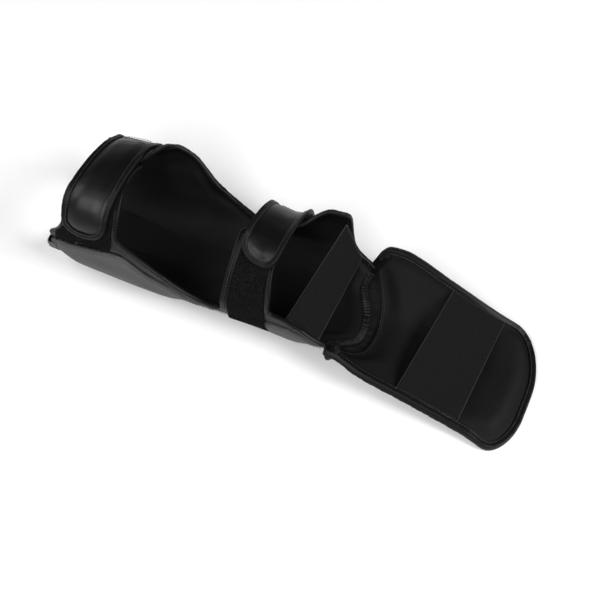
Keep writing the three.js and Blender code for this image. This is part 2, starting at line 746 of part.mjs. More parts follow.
const hemTape = edging(hemPath, shinPoint, shinDegree, wrapOuter, wrapInner, false, hemTapeWidth);
addPiece('hem_binding', hemTape, tapeBlack, 0.4);

// The near wings' loop patches and the two straps.
const calfPatchLow = (x) => shellAngle(x, -1) - 5 / shinDegree(x, 100);
const calfPatchEnd = calfWingEnd - wingFillet - patchSide;
const calfPatchStart = kneeEndBow + kneeFlareLength + patchSide;
addPiece('calf_loop_patch', loopPatch(calfPatchStart, calfPatchEnd, calfPatchLow, -172, 0), loopBlack, 0.95);
const anklePatchLow = () => -48;
const anklePatchSpread = 14;
const anklePatchStart = nearAnkleWingStart + wingFillet + patchSide;
const anklePatchEnd = nearAnkleWingEnd - wingFillet - patchSide;
const anklePatch = loopPatch(anklePatchStart, anklePatchEnd, anklePatchLow, -168, anklePatchSpread);
addPiece('ankle_loop_patch', anklePatch, loopBlack, 0.95);
strapPiece('calf_strap', calfStrapPlace, calfStrapWidth, 251, 128);
strapPiece('ankle_strap', ankleStrapPlace, ankleStrapWidth, 209, 106);

// The heel elastic, the gusset, and the instep plate with its tape and elastic.
const heelBand = bandGrid(nearHeelEnd, farHeelEnd, stations([0, 1], [4]));
addPiece('heel_elastic', slab(heelBand, elasticThickness), elasticGrey, 0.9);
addPiece('ankle_gusset', slab(gussetGrid(), gussetThickness), liningBlack, 0.5);
addPiece('instep_pad', sheet(instepPattern, instepPoint, flat, instepPadDepth), shellGrey, 0.6);
addPiece('instep_lining', sheet(instepPattern, instepPoint, liningOuter, liningInner), liningBlack, 0.5);
const instepPath = pathOf(instepPattern, instepPattern.stretches((a, b) => !both('seam')(a, b))[0]);
const instepTape = edging(instepPath, instepPoint, instepUnit, flat, bindingInner, false);
addPiece('instep_binding', instepTape, tapeBlack, 0.4);

const nearInstepEnd = instepEnd(-1, instepElasticNear, instepElasticNearWidth);
const farInstepEnd = instepEnd(1, instepElasticFar, instepElasticFarWidth);
const instepWays = [0, 0.07, 0.16, 0.28, 0.42, 0.58, 0.72, 0.84, 0.93, 1];
const instepBand = bandGrid(nearInstepEnd, farInstepEnd, instepWays);
for (const row of instepBand) {
  for (const point of row) {
    const section = instepSection(point.x);
    const t = point.y / (point.y < 0 ? section.near.width : section.far.width);
    const floor = instepPoint(point.x, t, liningInner(point.x, t) + endSeat);
    point.z = Math.max(point.z, floor.z);
  }
}
addPiece('instep_elastic', slab(instepBand, elasticThickness), elasticGrey, 0.9);

// The guard stands with its origin under the middle of its box.
const box = new THREE.Box3().setFromObject(guard);
const middle = box.getCenter(new THREE.Vector3());
guard.position.set(-middle.x, -middle.y, -box.min.z);
guard.updateMatrixWorld(true);

export default guard;
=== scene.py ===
"""A padded guard for the shin and the instep, lying on its padded front with the hollow upwards.

The leather, linings, tapes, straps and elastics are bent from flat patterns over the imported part, so each
piece lies where its solid does. Pattern sizes are in millimetres, finished meshes in metres.
"""

import logging
import math
from collections.abc import Callable
from dataclasses import dataclass, field
from enum import Enum

import bmesh
import bpy
import numpy as np
from mathutils import Matrix, Vector, noise
from mathutils.kdtree import KDTree

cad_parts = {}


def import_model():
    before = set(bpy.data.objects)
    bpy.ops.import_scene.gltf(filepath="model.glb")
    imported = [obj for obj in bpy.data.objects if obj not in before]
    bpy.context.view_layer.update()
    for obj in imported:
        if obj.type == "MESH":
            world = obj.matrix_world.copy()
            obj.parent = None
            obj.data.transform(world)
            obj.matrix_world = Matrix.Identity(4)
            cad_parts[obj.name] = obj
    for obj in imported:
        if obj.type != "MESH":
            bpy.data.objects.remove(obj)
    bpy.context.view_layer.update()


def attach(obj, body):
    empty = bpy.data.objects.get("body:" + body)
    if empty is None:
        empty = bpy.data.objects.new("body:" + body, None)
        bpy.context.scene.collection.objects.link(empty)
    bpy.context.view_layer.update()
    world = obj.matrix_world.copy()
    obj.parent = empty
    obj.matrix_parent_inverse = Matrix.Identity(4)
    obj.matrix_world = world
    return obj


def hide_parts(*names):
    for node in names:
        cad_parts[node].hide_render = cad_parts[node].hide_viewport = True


logging.basicConfig(level=logging.INFO, format="%(message)s")
LOG = logging.getLogger("guard")

Array = np.ndarray
Rule = Callable[[Array, Array], Array]
RimRule = Callable[[Array, Array, Array], Array]
Socket = bpy.types.NodeSocket

MM = 0.001
MIDDLE = np.array([-287.99999, 2.06174, 0.0])
SHIN_AXIS = 62.0
FLOOR_GAP = 0.15
INSTEP_END_INSET = 3.2
FILLING_PRESSURE = 4.0
FILLING_FRAMES = 20


class Side(Enum):
    """The two sides of the leg: the near one faces the camera."""

    NEAR = -1
    FAR = 1


class Skin(Enum):
    """The two faces of a wall."""

    OUTER = -1
    INNER = 1


def mix(a: Array | float, b: Array | float, t: Array | float) -> Array | float:
    """Blends from a to b by t."""
    return a + (b - a) * t


def smooth(t: Array | float) -> Array | float:
    """Eases t from 0 to 1."""
    held = np.clip(t, 0.0, 1.0)
    return held * held * (3.0 - 2.0 * held)


def eased(at: Array | float, course: tuple[float, float]) -> Array | float:
    """Comes on smoothly from 0 to 1, from where the course starts and over its length."""
    return smooth((at - course[0]) / course[1])


def corner_left(height: Array | float, rise: float) -> Array | float:
    """Says how far an elliptic corner has still to run at a height, as a share of its length."""
    return 1.0 - np.sqrt(1.0 - np.clip(1.0 - height / rise, 0.0, 1.0) ** 2)


@dataclass(frozen=True)
class Course:
    """A smooth course through a few sizes along a piece."""

    at: tuple[float, ...]
    sizes: tuple[float, ...]

    def __call__(self, at: Array | float) -> Array:
        """Reads the course.

        Args:
            at: Places along the piece, as shares.

        Returns:
            The size at each place.
        """
        knots, sizes = np.array(self.at), np.array(self.sizes)
        last = len(knots) - 1
        where = np.clip(np.asarray(at, float), knots[0], knots[-1])
        i = np.clip(np.searchsorted(knots, where, side="right") - 1, 0, last - 1)
        before, after = np.maximum(np.arange(last + 1) - 1, 0), np.minimum(np.arange(last + 1) + 1, last)
        slopes = (sizes[after] - sizes[before]) / (knots[after] - knots[before])
        step = knots[i + 1] - knots[i]
        t = (where - knots[i]) / step
        start = slopes[i] * step * t * (1.0 - t) ** 2
        end = slopes[i + 1] * step * t * t * (t - 1.0)
        return mix(sizes[i], sizes[i + 1], smooth(t)) + start + end


SHIN_AT = (0.0, 0.1, 0.26, 0.31, 0.42, 0.51, 0.59, 0.7, 0.79, 0.88, 0.94, 1.0)


@dataclass(frozen=True)
class Ring:
    """The sizes of the shin's cross section at some places."""

    bottom: Array
    width: Array
    height: Array
    waist: Array
    crest_shift: Array
    near_power: Array


@dataclass(frozen=True)
class ShinForm:
    """The surfaces that the shin's shell, lining, wings and straps follow.

    Each place and angle with two numbers says where an effect starts and over how much it comes on.
    """

    length: float = 369.0
    calf_half_width: float = 73.0
    ankle_half_width: float = 64.0
    calf_height: float = 155.0
    ankle_height: float = 113.0
    ankle_lift: float = 20.0
    rest_depth: float = 1.8
    knee_bow: float = 17.0
    hem_bulge: float = 20.0
    pad_thickness: float = 20.0
    pad_edge: float = 7.0
    wall: float = 2.4
    shell_setback: float = 18.0
    wing_depth: float = 2.6
    tape_width: float = 4.5
    pad_gap: float = 14.0
    lining_gap: float = 0.3
    flare_depth: float = 25.5
    flare_place: tuple[float, float] = (262.0, 46.0)
    flare_angle: tuple[float, float] = (84.0, 38.0)
    curl_angle: tuple[float, float] = (124.0, 34.0)
    calf_bulge: float = 13.0
    bulge_place: tuple[float, float] = (88.0, 24.0)
    bulge_end: tuple[float, float] = (118.0, 52.0)
    bulge_angle: tuple[float, float] = (74.0, 34.0)
    tuck_depth: float = 10.0
    tuck_angle: tuple[float, float] = (172.0, 34.0)
    knee_run: float = 70.0
    hem_place: float = 0.84
    hem_run: float = 0.16
    lower_power: float = 2.6
    far_upper_power: float = 2.0
    to_ankle: Course = Course(SHIN_AT, (0.3, 0.05, 0.0, 0.02, 0.14, 0.36, 0.6, 0.95, 1.0, 1.0, 1.0, 1.0))
    lift: Course = Course(SHIN_AT, (0.26, 0.0, 0.0, 0.03, 0.1, 0.22, 0.36, 0.56, 0.7, 0.84, 0.94, 1.0))
    waist: Course = Course(SHIN_AT, (0.54, 0.54, 0.54, 0.53, 0.52, 0.5, 0.49, 0.48, 0.47, 0.46, 0.46, 0.46))
    crest_shift: Course = Course(
        SHIN_AT, (-0.45, -0.45, 0.0, 0.0, -0.05, -0.1, -0.1, -0.05, -0.05, -0.1, -0.1, -0.1)
    )
    near_power: Course = Course(SHIN_AT, (2.6, 2.6, 2.6, 2.5, 2.2, 1.7, 1.3, 1.7, 2.6, 2.6, 2.6, 2.6))
    near_edge: Course = Course(
        SHIN_AT, (0.45, 0.62, 0.71, 0.7, 0.53, 0.38, 0.3, 0.42, 0.56, 0.46, 0.33, 0.28)
    )
    far_edge: Course = Course(
        SHIN_AT, (0.56, 0.68, 0.77, 0.75, 0.56, 0.42, 0.34, 0.42, 0.54, 0.54, 0.38, 0.24)
    )
    hem: Course = Course(
        (-1.0, -0.72, -0.42, -0.1, 0.18, 0.45, 0.75, 1.0), (-0.9, -0.35, 0.55, 0.7, 0.2, -0.3, -0.3, -0.25)
    )

    @property
    def pad_end(self) -> float:
        """Where the front pad stops short of the crease."""
        return self.length - self.pad_gap

    def ring(self, x: Array) -> Ring:
        """Gives the cross sections at x.

        Args:
            x: Places along the shin.

        Returns:
            The sizes there.
        """
        at = np.asarray(x, float) / self.length
        share = self.to_ankle(at)
        width = mix(self.calf_half_width, self.ankle_half_width, share)
        height = mix(self.calf_height, self.ankle_height, share)
        return Ring(
            bottom=self.lift(at) * self.ankle_lift,
            width=width,
            height=height,
            waist=self.waist(at) * height,
            crest_shift=self.crest_shift(at) * width,
            near_power=self.near_power(at),
        )

    def outline(self, ring: Ring, angle: Array) -> tuple[Array, Array]:
        """Places points on cross sections.

        Args:
            ring: The cross sections.
            angle: Degrees from the bottom, negative on the near side, 180 at the crest.

        Returns:
            Y and Z of each point.
        """
        turn = np.mod(angle + 180.0, 360.0) - 180.0
        side = np.where(turn < 0, -1.0, 1.0)
        across, up = np.abs(np.sin(np.radians(turn))), np.cos(np.radians(turn))
        low_share = 1.0 - np.clip(up, 0.0, 1.0) ** (2.0 / self.lower_power)
        low_z = np.maximum(ring.bottom + ring.waist * low_share - self.rest_depth, 0.0)
        low_y = side * ring.width * across ** (2.0 / self.lower_power)
        power = np.where(side < 0, ring.near_power, self.far_upper_power)
        reach = side * ring.width - ring.crest_shift
        high = np.clip(-up, 0.0, 1.0) ** (2.0 / power)
        high_z = ring.bottom + ring.waist + (ring.height - ring.waist) * high - self.rest_depth
        high_y = ring.crest_shift + reach * across ** (2.0 / power)
        return np.where(up > 0, low_y, high_y), np.where(up > 0, low_z, high_z)

    def point(self, x: Array, angle: Array, depth: Array) -> Array:
        """Places points at a depth under the ring's outside, measured inwards.

        Args:
            x: Places along the shin.
            angle: Degrees from the bottom.
            depth: Millimetres inwards.

        Returns:
            The points.
        """
        ring = self.ring(x)
        y, z = self.outline(ring, angle)
        y_before, z_before = self.outline(ring, angle - 1.0)
        y_after, z_after = self.outline(ring, angle + 1.0)
        length = np.hypot(y_after - y_before, z_after - z_before)
        in_y, in_z = -(z_after - z_before) / length, (y_after - y_before) / length
        return np.stack([x + 0.0 * y, y + in_y * depth, z + in_z * depth], axis=-1)

    def unit(self, x: Array, angle: Array) -> Array:
        """Gives the millimetres along the ring for one degree of its angle.

        Args:
            x: Places along the shin.
            angle: Degrees from the bottom.

        Returns:
            Millimetres for a degree.
        """
        ring = self.ring(x)
        y_before, z_before = self.outline(ring, angle - 4.0)
        y_after, z_after = self.outline(ring, angle + 4.0)
        return np.hypot(y_after - y_before, z_after - z_before) / 8.0

    def edge_angle(self, x: Array, side: Side) -> Array:
        """Gives the angle of the lining's low edge.

        Args:
            x: Places along the shin.
            side: The side of the leg.

        Returns:
            Its angle in degrees, signed.
        """
        course = self.near_edge if side is Side.NEAR else self.far_edge
        ring = self.ring(x)
        height = course(np.asarray(x, float) / self.length) * ring.height
        low = np.degrees(np.arccos(np.clip(1.0 - height / ring.waist, 0.0, 1.0) ** (self.lower_power / 2.0)))
        power = ring.near_power if side is Side.NEAR else self.far_upper_power
        share = np.clip((height - ring.waist) / (ring.height - ring.waist), 0.0, 1.0)
        high = 90.0 + np.degrees(np.arcsin(share ** (power / 2.0)))
        return side.value * np.where(height < ring.waist, low, high)

    def shell_angle(self, x: Array, side: Side) -> Array:
        """Gives the angle of the shell's top edge."""
        edge = self.edge_angle(x, side)
        return edge - side.value * self.shell_setback / self.unit(x, edge)

    def shell_angle_beside(self, x: Array, angle: Array) -> Array:
        """Gives the shell's top edge on the side that the angle is on."""
        return np.where(angle < 0, self.shell_angle(x, Side.NEAR), self.shell_angle(x, Side.FAR))

    def shell_share(self, x: Array, way: Array) -> Array:
        """Gives the shell's reach as a share of the lining's, on the side that way's sign says.

        Args:
            x: Places along the shin.
            way: Negative for the near side.

        Returns:
            The share, from 0 to 1.
        """
        near = self.shell_angle(x, Side.NEAR) / self.edge_angle(x, Side.NEAR)
        far = self.shell_angle(x, Side.FAR) / self.edge_angle(x, Side.FAR)
        return np.where(way < 0, near, far)

    def pad_depth(self, x: Array, angle: Array) -> Array:
        """Gives the pad's thickness: full in front, thin along its edges and ends.

        Args:
            x: Places along the shin.
            angle: Degrees from the bottom.

        Returns:
            Millimetres.
        """
        crown = 1.0 - np.clip(np.abs(angle / self.shell_angle_beside(x, angle)), 0.0, 1.0) ** 3
        knee_taper = mix(0.15, 1.0, smooth((x - self.tape_width - 2.0) / 28.0))
        ankle_taper = mix(0.35, 1.0, smooth((self.pad_end - x) / 50.0))
        return mix(self.pad_edge, self.pad_thickness, crown * knee_taper * ankle_taper)

    def above_shell(self, x: Array, angle: Array) -> Array:
        """Gives the millimetres above the shell's top edge."""
        shell = self.shell_angle_beside(x, angle)
        return (np.abs(angle) - np.abs(shell)) * self.unit(x, shell)

    def lining_outer(self, x: Array, angle: Array) -> Array:
        """Gives the depth of the lining's outer face, wings included.

        Args:
            x: Places along the shin.
            angle: Degrees from the bottom.

        Returns:
            Millimetres inwards.
        """
        rim = self.shell_setback - self.tape_width - 2.0
        seated = self.pad_depth(x, angle) + self.lining_gap
        depth = mix(seated, self.wing_depth, smooth((self.above_shell(x, angle) - 0.2) / (rim * 0.6)))
        tuck = self.tuck_depth * eased(-angle, self.tuck_angle)
        return depth + np.where(angle < 0, tuck, -self.far_lean(x, angle) - self.far_bulge(x, angle))

    def far_lean(self, x: Array, angle: Array) -> Array:
        """Gives how far the far side leans out at the ankle, strap included, before it curls over."""
        curl = 1.0 - 0.5 * eased(angle, self.curl_angle)
        return self.flare_depth * eased(x, self.flare_place) * eased(angle, self.flare_angle) * curl

    def far_bulge(self, x: Array, angle: Array) -> Array:
        """Gives how far the far side bulges beyond the upper strap, shell included."""
        along = eased(x, self.bulge_place) * (1.0 - eased(x, self.bulge_end))
        return self.calf_bulge * along * eased(angle, self.bulge_angle)

    def lining_inner(self, x: Array, angle: Array) -> Array:
        """Gives the depth of the lining's inner face."""
        return self.lining_outer(x, angle) + self.wall

    def knee_shift(self, x: Array, across: Array) -> Array:
        """Gives how far the knee end bows."""
        return self.knee_bow * across**4 * (1.0 - smooth(x / self.knee_run))

    def hem_shift(self, x: Array, across: Array) -> Array:
        """Gives how far the hem bulges over the crease."""
        share = smooth((x - self.length * self.hem_place) / (self.length * self.hem_run))
        return self.hem_bulge * self.hem(across) * share


INSTEP_AT = (0.0, 0.14, 0.4, 0.75, 0.9, 1.0)


@dataclass(frozen=True)
class InstepForm:
    """The surface that the plate over the foot follows. t runs from -1 at the near edge to 1 at the far."""

    start: float = 369.0
    length: float = 207.0
    half_width: float = 70.0
    edge_rise: float = 50.0
    ankle_lift: float = 20.0
    rest_depth: float = 1.8
    least_height: float = 1.8
    power: float = 2.6
    pad_thickness: float = 10.0
    pad_edge: float = 2.5
    lining_wall: float = 1.6
    seam_bow: float = 32.0
    crease_gap: float = 8.0
    crease_corner: float = 17.0
    near_toe: tuple[float, float] = (30.0, 45.0)
    far_toe: tuple[float, float] = (46.0, 70.0)
    lift: Course = Course(INSTEP_AT, (1.0, 0.82, 0.55, 0.22, 0.15, 0.15))
    near_width: Course = Course(INSTEP_AT, (0.95, 1.03, 1.05, 1.09, 1.14, 1.12))
    near_rise: Course = Course(INSTEP_AT, (0.6, 0.54, 0.42, 0.24, 0.08, 0.05))
    far_width: Course = Course(INSTEP_AT, (1.08, 1.12, 1.06, 1.08, 1.09, 1.03))
    far_rise: Course = Course(INSTEP_AT, (1.1, 1.14, 0.88, 0.28, 0.09, 0.06))
    seam: Course = Course((-1.0, -0.6, -0.1, 0.25, 0.55, 0.8, 1.0), (-0.3, 0.76, 1.0, 0.9, 0.6, 0.22, -0.1))

    @property
    def toe(self) -> float:
        """Where the plate ends."""
        return self.start + self.length

    def width(self, x: Array, t: Array) -> Array:
        """Gives the width of the plate's half on t's side."""
        at = (np.asarray(x, float) - self.start) / self.length
        return np.where(t < 0, self.near_width(at), self.far_width(at)) * self.half_width

    def rise(self, x: Array, t: Array) -> Array:
        """Gives how high the plate's edge stands on t's side."""
        at = (np.asarray(x, float) - self.start) / self.length
        return np.where(t < 0, self.near_rise(at), self.far_rise(at)) * self.edge_rise

    def steepness(self, x: Array, t: Array) -> Array:
        """Gives the plate's slope towards its edge."""
        return self.rise(x, t) * self.power * np.abs(t) ** (self.power - 1.0) / self.width(x, t)

    def point(self, x: Array, t: Array, depth: Array) -> Array:
        """Places points at a height over the plate's outer face.

        Args:
            x: Places along the plate.
            t: From -1, near, to 1, far.
            depth: Millimetres upwards.

        Returns:
            The points.
        """
        at = (np.asarray(x, float) - self.start) / self.length
        width, rise = self.width(x, t), self.rise(x, t)
        steep = self.steepness(x, t)
        length = np.hypot(1.0, steep)
        y = t * width - np.sign(t) * steep * depth / length
        low = self.lift(at) * self.ankle_lift + rise * np.abs(t) ** self.power - self.rest_depth
        return np.stack([x + 0.0 * y, y, np.maximum(low, self.least_height) + depth / length], axis=-1)

    def seam_x(self, t: Array) -> Array:
        """Gives where the plate starts at the crease."""
        return self.start - self.crease_gap + self.seam_bow * self.seam(t)

    def run(self, t: Array) -> tuple[Array, Array]:
        """Gives where the plate starts and ends at t, with its corners rounded.

        Args:
            t: From -1, near, to 1, far.

        Returns:
            The first and the last x of the plate.
        """
        edge = self.half_width * (1.0 - np.abs(t))
        corner = np.where(t < 0, 3.0, self.crease_corner)
        start = self.seam_x(t) + corner * corner_left(edge, corner)
        near = self.near_toe[0] * corner_left(edge, self.near_toe[1])
        far = self.far_toe[0] * corner_left(edge, self.far_toe[1])
        return start, self.toe - np.where(t < 0, near, far)

    def pad_depth(self, x: Array, t: Array) -> Array:
        """Gives the plate's thickness.

        Args:
            x: Places along the plate.
            t: From -1, near, to 1, far.

        Returns:
            Millimetres.
        """
        crown = 1.0 - np.clip(np.abs(t), 0.0, 1.0) ** 4
        crease = mix(0.2, 1.0, smooth((x - self.seam_x(t)) / 30.0))
        toe = mix(0.1, 1.0, smooth((self.run(np.clip(t, -1.0, 1.0))[1] - x) / 30.0))
        return mix(self.pad_edge, self.pad_thickness, crown * crease * toe)

    def lining_outer(self, x: Array, t: Array) -> Array:
        """Gives the height of the lining's lower face."""
        return self.pad_depth(x, t) + 0.3

    def lining_inner(self, x: Array, t: Array) -> Array:
        """Gives the height of the lining's upper face."""
        return self.lining_outer(x, t) + self.lining_wall


SHIN = ShinForm()
INSTEP = InstepForm()


def finish_points(points: Array) -> Array:
    """Turns pattern millimetres into the part's metres, never under the floor.

    Args:
        points: Points in pattern millimetres.

    Returns:
        The points in metres.
    """
    placed = (points + MIDDLE) * MM
    placed[:, 2] = np.maximum(placed[:, 2], FLOOR_GAP * MM)
    return placed


def length_along(line: Array) -> Array:
    """Gives the running length along a line of points."""
    steps = np.linalg.norm(np.diff(line, axis=0), axis=1)
    return np.concatenate([[0.0], np.cumsum(steps)])


def spaced(line: Array, step: float) -> Array:
    """Sets points along a line at even steps of about the given length, its ends included.

    Args:
        line: The line's points.
        step: The wanted distance between points.

    Returns:
        The new points.
    """
    run = length_along(line)
    count = max(int(round(run[-1] / step)), 2)
    at = np.linspace(0.0, run[-1], count + 1)
    return np.stack([np.interp(at, run, line[:, k]) for k in range(line.shape[1])], axis=-1)


def softened(line: Array, rounds: int) -> Array:
    """Rounds a line's corners and keeps its ends.

    Args:
        line: The line's points.
        rounds: How often it is smoothed.

    Returns:
        The new points.
    """
    soft = line.copy()
    for _ in range(rounds):
        before, after = np.roll(soft, 1, axis=0), np.roll(soft, -1, axis=0)
        moved = soft * 0.5 + (before + after) * 0.25
        moved[0], moved[-1] = soft[0], soft[-1]
        soft = moved
    return soft


def distance_to(points: Array, line: Array) -> Array:
    """Gives each flat point's distance to a closed flat line.

    Args:
        points: The flat points.
        line: The line's points, in order.

    Returns:
        The distances.
    """
    start, end = line, np.roll(line, -1, axis=0)
    span = end - start
    size = np.maximum((span**2).sum(axis=1), 1e-9)
    best = np.full(len(points), 1e9)
    for a, d, s in zip(start, span, size, strict=True):
        t = np.clip(((points - a) @ d) / s, 0.0, 1.0)
        best = np.minimum(best, np.linalg.norm(points - (a + t[:, None] * d), axis=1))
    return best


def ripple(u: Array, v: Array, wave: float, seed: float) -> Array:
    """Gives soft irregular folds, from -1 to 1, for pattern places in millimetres.

    Args:
        u: Flat places.
        v: Flat places across them.
        wave: The length of a fold.
        seed: Which folds they are.

    Returns:
        The height of the folds at each place.
    """
    fine = wave / 2.3
    return np.array([
        noise.noise(Vector((a / wave, b / wave, seed)))
        + 0.45 * noise.noise(Vector((a / fine, b / fine, seed)))
        for a, b in zip(np.ravel(u), np.ravel(v), strict=True)
    ])


class Pattern(Enum):
    """The surface patterns that the finishes use."""

    GRAIN = "grain"
    LOOPS = "loops"
    WEAVE = "weave"
    THREAD = "thread"


def face_outwards(shape: bmesh.types.BMesh) -> None:
    """Turns a closed shape's faces outwards.

    Args:
        shape: The shape, which is changed.
    """
    bmesh.ops.recalc_face_normals(shape, faces=shape.faces)
    if shape.calc_volume(signed=True) < 0.0:
        bmesh.ops.reverse_faces(shape, faces=shape.faces)


def lay_pattern(shape: bmesh.types.BMesh, places: Array) -> None:
    """Gives a closed shape its UV map and turns its faces outwards.

    Args:
        shape: The shape, which is changed.
        places: Each corner's place in the pattern, in millimetres.
    """
    layer = shape.loops.layers.uv.new("UVMap")
    for face in shape.faces:
        for loop in face.loops:
            loop[layer].uv = places[loop.vert.index] * MM
    face_outwards(shape)


def pattern_group(name: str, scale: float) -> tuple[bpy.types.NodeTree, Socket, Socket, bpy.types.Node]:
    """Starts the node group of a surface pattern.

    Args:
        name: The group's name.
        scale: Its scale until a finish sets one.

    Returns:
        The group, the sockets of its place and its scale, and its output node.
    """
    group = bpy.data.node_groups.new(name, "ShaderNodeTree")
    group.interface.new_socket("Place", in_out="INPUT", socket_type="NodeSocketVector")
    group.interface.new_socket("Scale", in_out="INPUT", socket_type="NodeSocketFloat").default_value = scale
    for label in ("Height", "Tone"):
        group.interface.new_socket(label, in_out="OUTPUT", socket_type="NodeSocketFloat")
    source, sink = group.nodes.new("NodeGroupInput"), group.nodes.new("NodeGroupOutput")
    return group, source.outputs["Place"], source.outputs["Scale"], sink


def feed(tree: bpy.types.NodeTree, socket: Socket, value: Socket | float) -> None:
    """Gives an input a number, or links another socket to it.

    Args:
        tree: The tree that both are in.
        socket: The input.
        value: The number or the other socket.
    """
    if isinstance(value, (int, float)):
        socket.default_value = value
    else:
        tree.links.new(value, socket)


def sum_node(
    tree: bpy.types.NodeTree, operation: str, a: Socket | float, b: Socket | float = 0.0,
    c: Socket | float = 0.0,
) -> Socket:
    """Adds a math node.

    Args:
        tree: The tree that it goes into.
        operation: The node's operation.
        a: A socket or a number.
        b: A socket or a number.
        c: A socket or a number, for operations with three.

    Returns:
        The node's output socket.
    """
    node = tree.nodes.new("ShaderNodeMath")
    node.operation = operation
    for place, value in enumerate((a, b, c)):
        feed(tree, node.inputs[place], value)
    return node.outputs[0]


def noise_node(tree: bpy.types.NodeTree, place: Socket, scale: Socket | float, detail: float) -> Socket:
    """Adds a noise texture and returns its value socket.

    Args:
        tree: The tree that it goes into.
        place: The socket with the coordinates.
        scale: A socket or a number.
        detail: How many finer layers it has.

    Returns:
        The noise's socket, from 0 to 1.
    """
    node = tree.nodes.new("ShaderNodeTexNoise")
    node.inputs["Detail"].default_value = detail
    tree.links.new(place, node.inputs["Vector"])
    feed(tree, node.inputs["Scale"], scale)
    return node.outputs["Fac"]


def grain_group() -> bpy.types.NodeTree:
    """Makes the leather's grain: rounded pebbles with creases, and a slow mask for tone.

    Returns:
        The node group.
    """
    group, place, scale, sink = pattern_group("leather_grain", 900.0)
    pebbles = group.nodes.new("ShaderNodeTexVoronoi")
    pebbles.feature = "SMOOTH_F1"
    group.links.new(place, pebbles.inputs["Vector"])
    group.links.new(scale, pebbles.inputs["Scale"])
    rough = noise_node(group, place, 420.0, 3.0)
    rounded = sum_node(group, "POWER", pebbles.outputs["Distance"], 1.6)
    height = sum_node(group, "MULTIPLY_ADD", rounded, -0.7, rough)
    slow = noise_node(group, place, 26.0, 4.0)
    fine = noise_node(group, place, 160.0, 2.0)
    tone = sum_node(group, "MULTIPLY_ADD", fine, 0.35, sum_node(group, "MULTIPLY", slow, 0.65))
    group.links.new(height, sink.inputs["Height"])
    group.links.new(tone, sink.inputs["Tone"])
    return group


def loops_group() -> bpy.types.NodeTree:
    """Makes the fuzz of loop fabric: matted tufts with fine hairs.

    Returns:
        The node group.
    """
    group, place, scale, sink = pattern_group("loop_fuzz", 700.0)
    hairs = noise_node(group, place, scale, 5.0)
    tufts = noise_node(group, place, 520.0, 3.0)
    height = sum_node(group, "MULTIPLY_ADD", tufts, 1.2, hairs)
    both = sum_node(group, "MULTIPLY_ADD", tufts, 1.3, hairs)
    spread = sum_node(group, "MULTIPLY_ADD", sum_node(group, "SUBTRACT", both, 1.15), 2.6, 0.4)
    group.links.new(height, sink.inputs["Height"])
    group.links.new(spread, sink.inputs["Tone"])
    return group


def weave_group() -> bpy.types.NodeTree:
    """Makes the weave of elastic and tape: ribs along the band crossed by fine threads.

    Returns:
        The node group.
    """
    group, place, scale, sink = pattern_group("woven_ribs", 800.0)
    split = group.nodes.new("ShaderNodeSeparateXYZ")
    group.links.new(place, split.inputs[0])
    turned = sum_node(group, "MULTIPLY", split.outputs["Y"], scale)
    crossed = sum_node(group, "MULTIPLY", split.outputs["X"], scale)
    ribs = sum_node(group, "SINE", turned)
    picks = sum_node(group, "SINE", sum_node(group, "MULTIPLY_ADD", ribs, 0.9, crossed))
    flecks = noise_node(group, place, 620.0, 3.0)
    woven = sum_node(group, "MULTIPLY_ADD", ribs, 0.5, sum_node(group, "MULTIPLY", picks, 0.5))
    height = sum_node(group, "MULTIPLY_ADD", flecks, 0.8, woven)
    fine = noise_node(group, place, 1900.0, 2.0)
    mixed = sum_node(group, "MULTIPLY_ADD", flecks, 1.3, sum_node(group, "MULTIPLY", fine, 1.1))
    tone = sum_node(group, "MULTIPLY_ADD", woven, 0.14, mixed)
    group.links.new(height, sink.inputs["Height"])
    group.links.new(sum_node(group, "SUBTRACT", tone, 0.7), sink.inputs["Tone"])
    return group


PATTERN_GROUPS: dict[Pattern, Callable[[], bpy.types.NodeTree]] = {
    Pattern.GRAIN: grain_group,
    Pattern.LOOPS: loops_group,
    Pattern.WEAVE: weave_group,
    Pattern.THREAD: weave_group,
}


class Groups:
    """The node groups that are built once and shared."""

    built: dict[str, bpy.types.NodeTree] = {}

    @classmethod
    def get(cls, pattern: Pattern) -> bpy.types.NodeTree:
        """Gives the pattern's node group, built on its first use.

        Args:
            pattern: The pattern.

        Returns:
            Its node group.
        """
        maker = PATTERN_GROUPS[pattern]
        if maker.__name__ not in cls.built:
            cls.built[maker.__name__] = maker()
        return cls.built[maker.__name__]


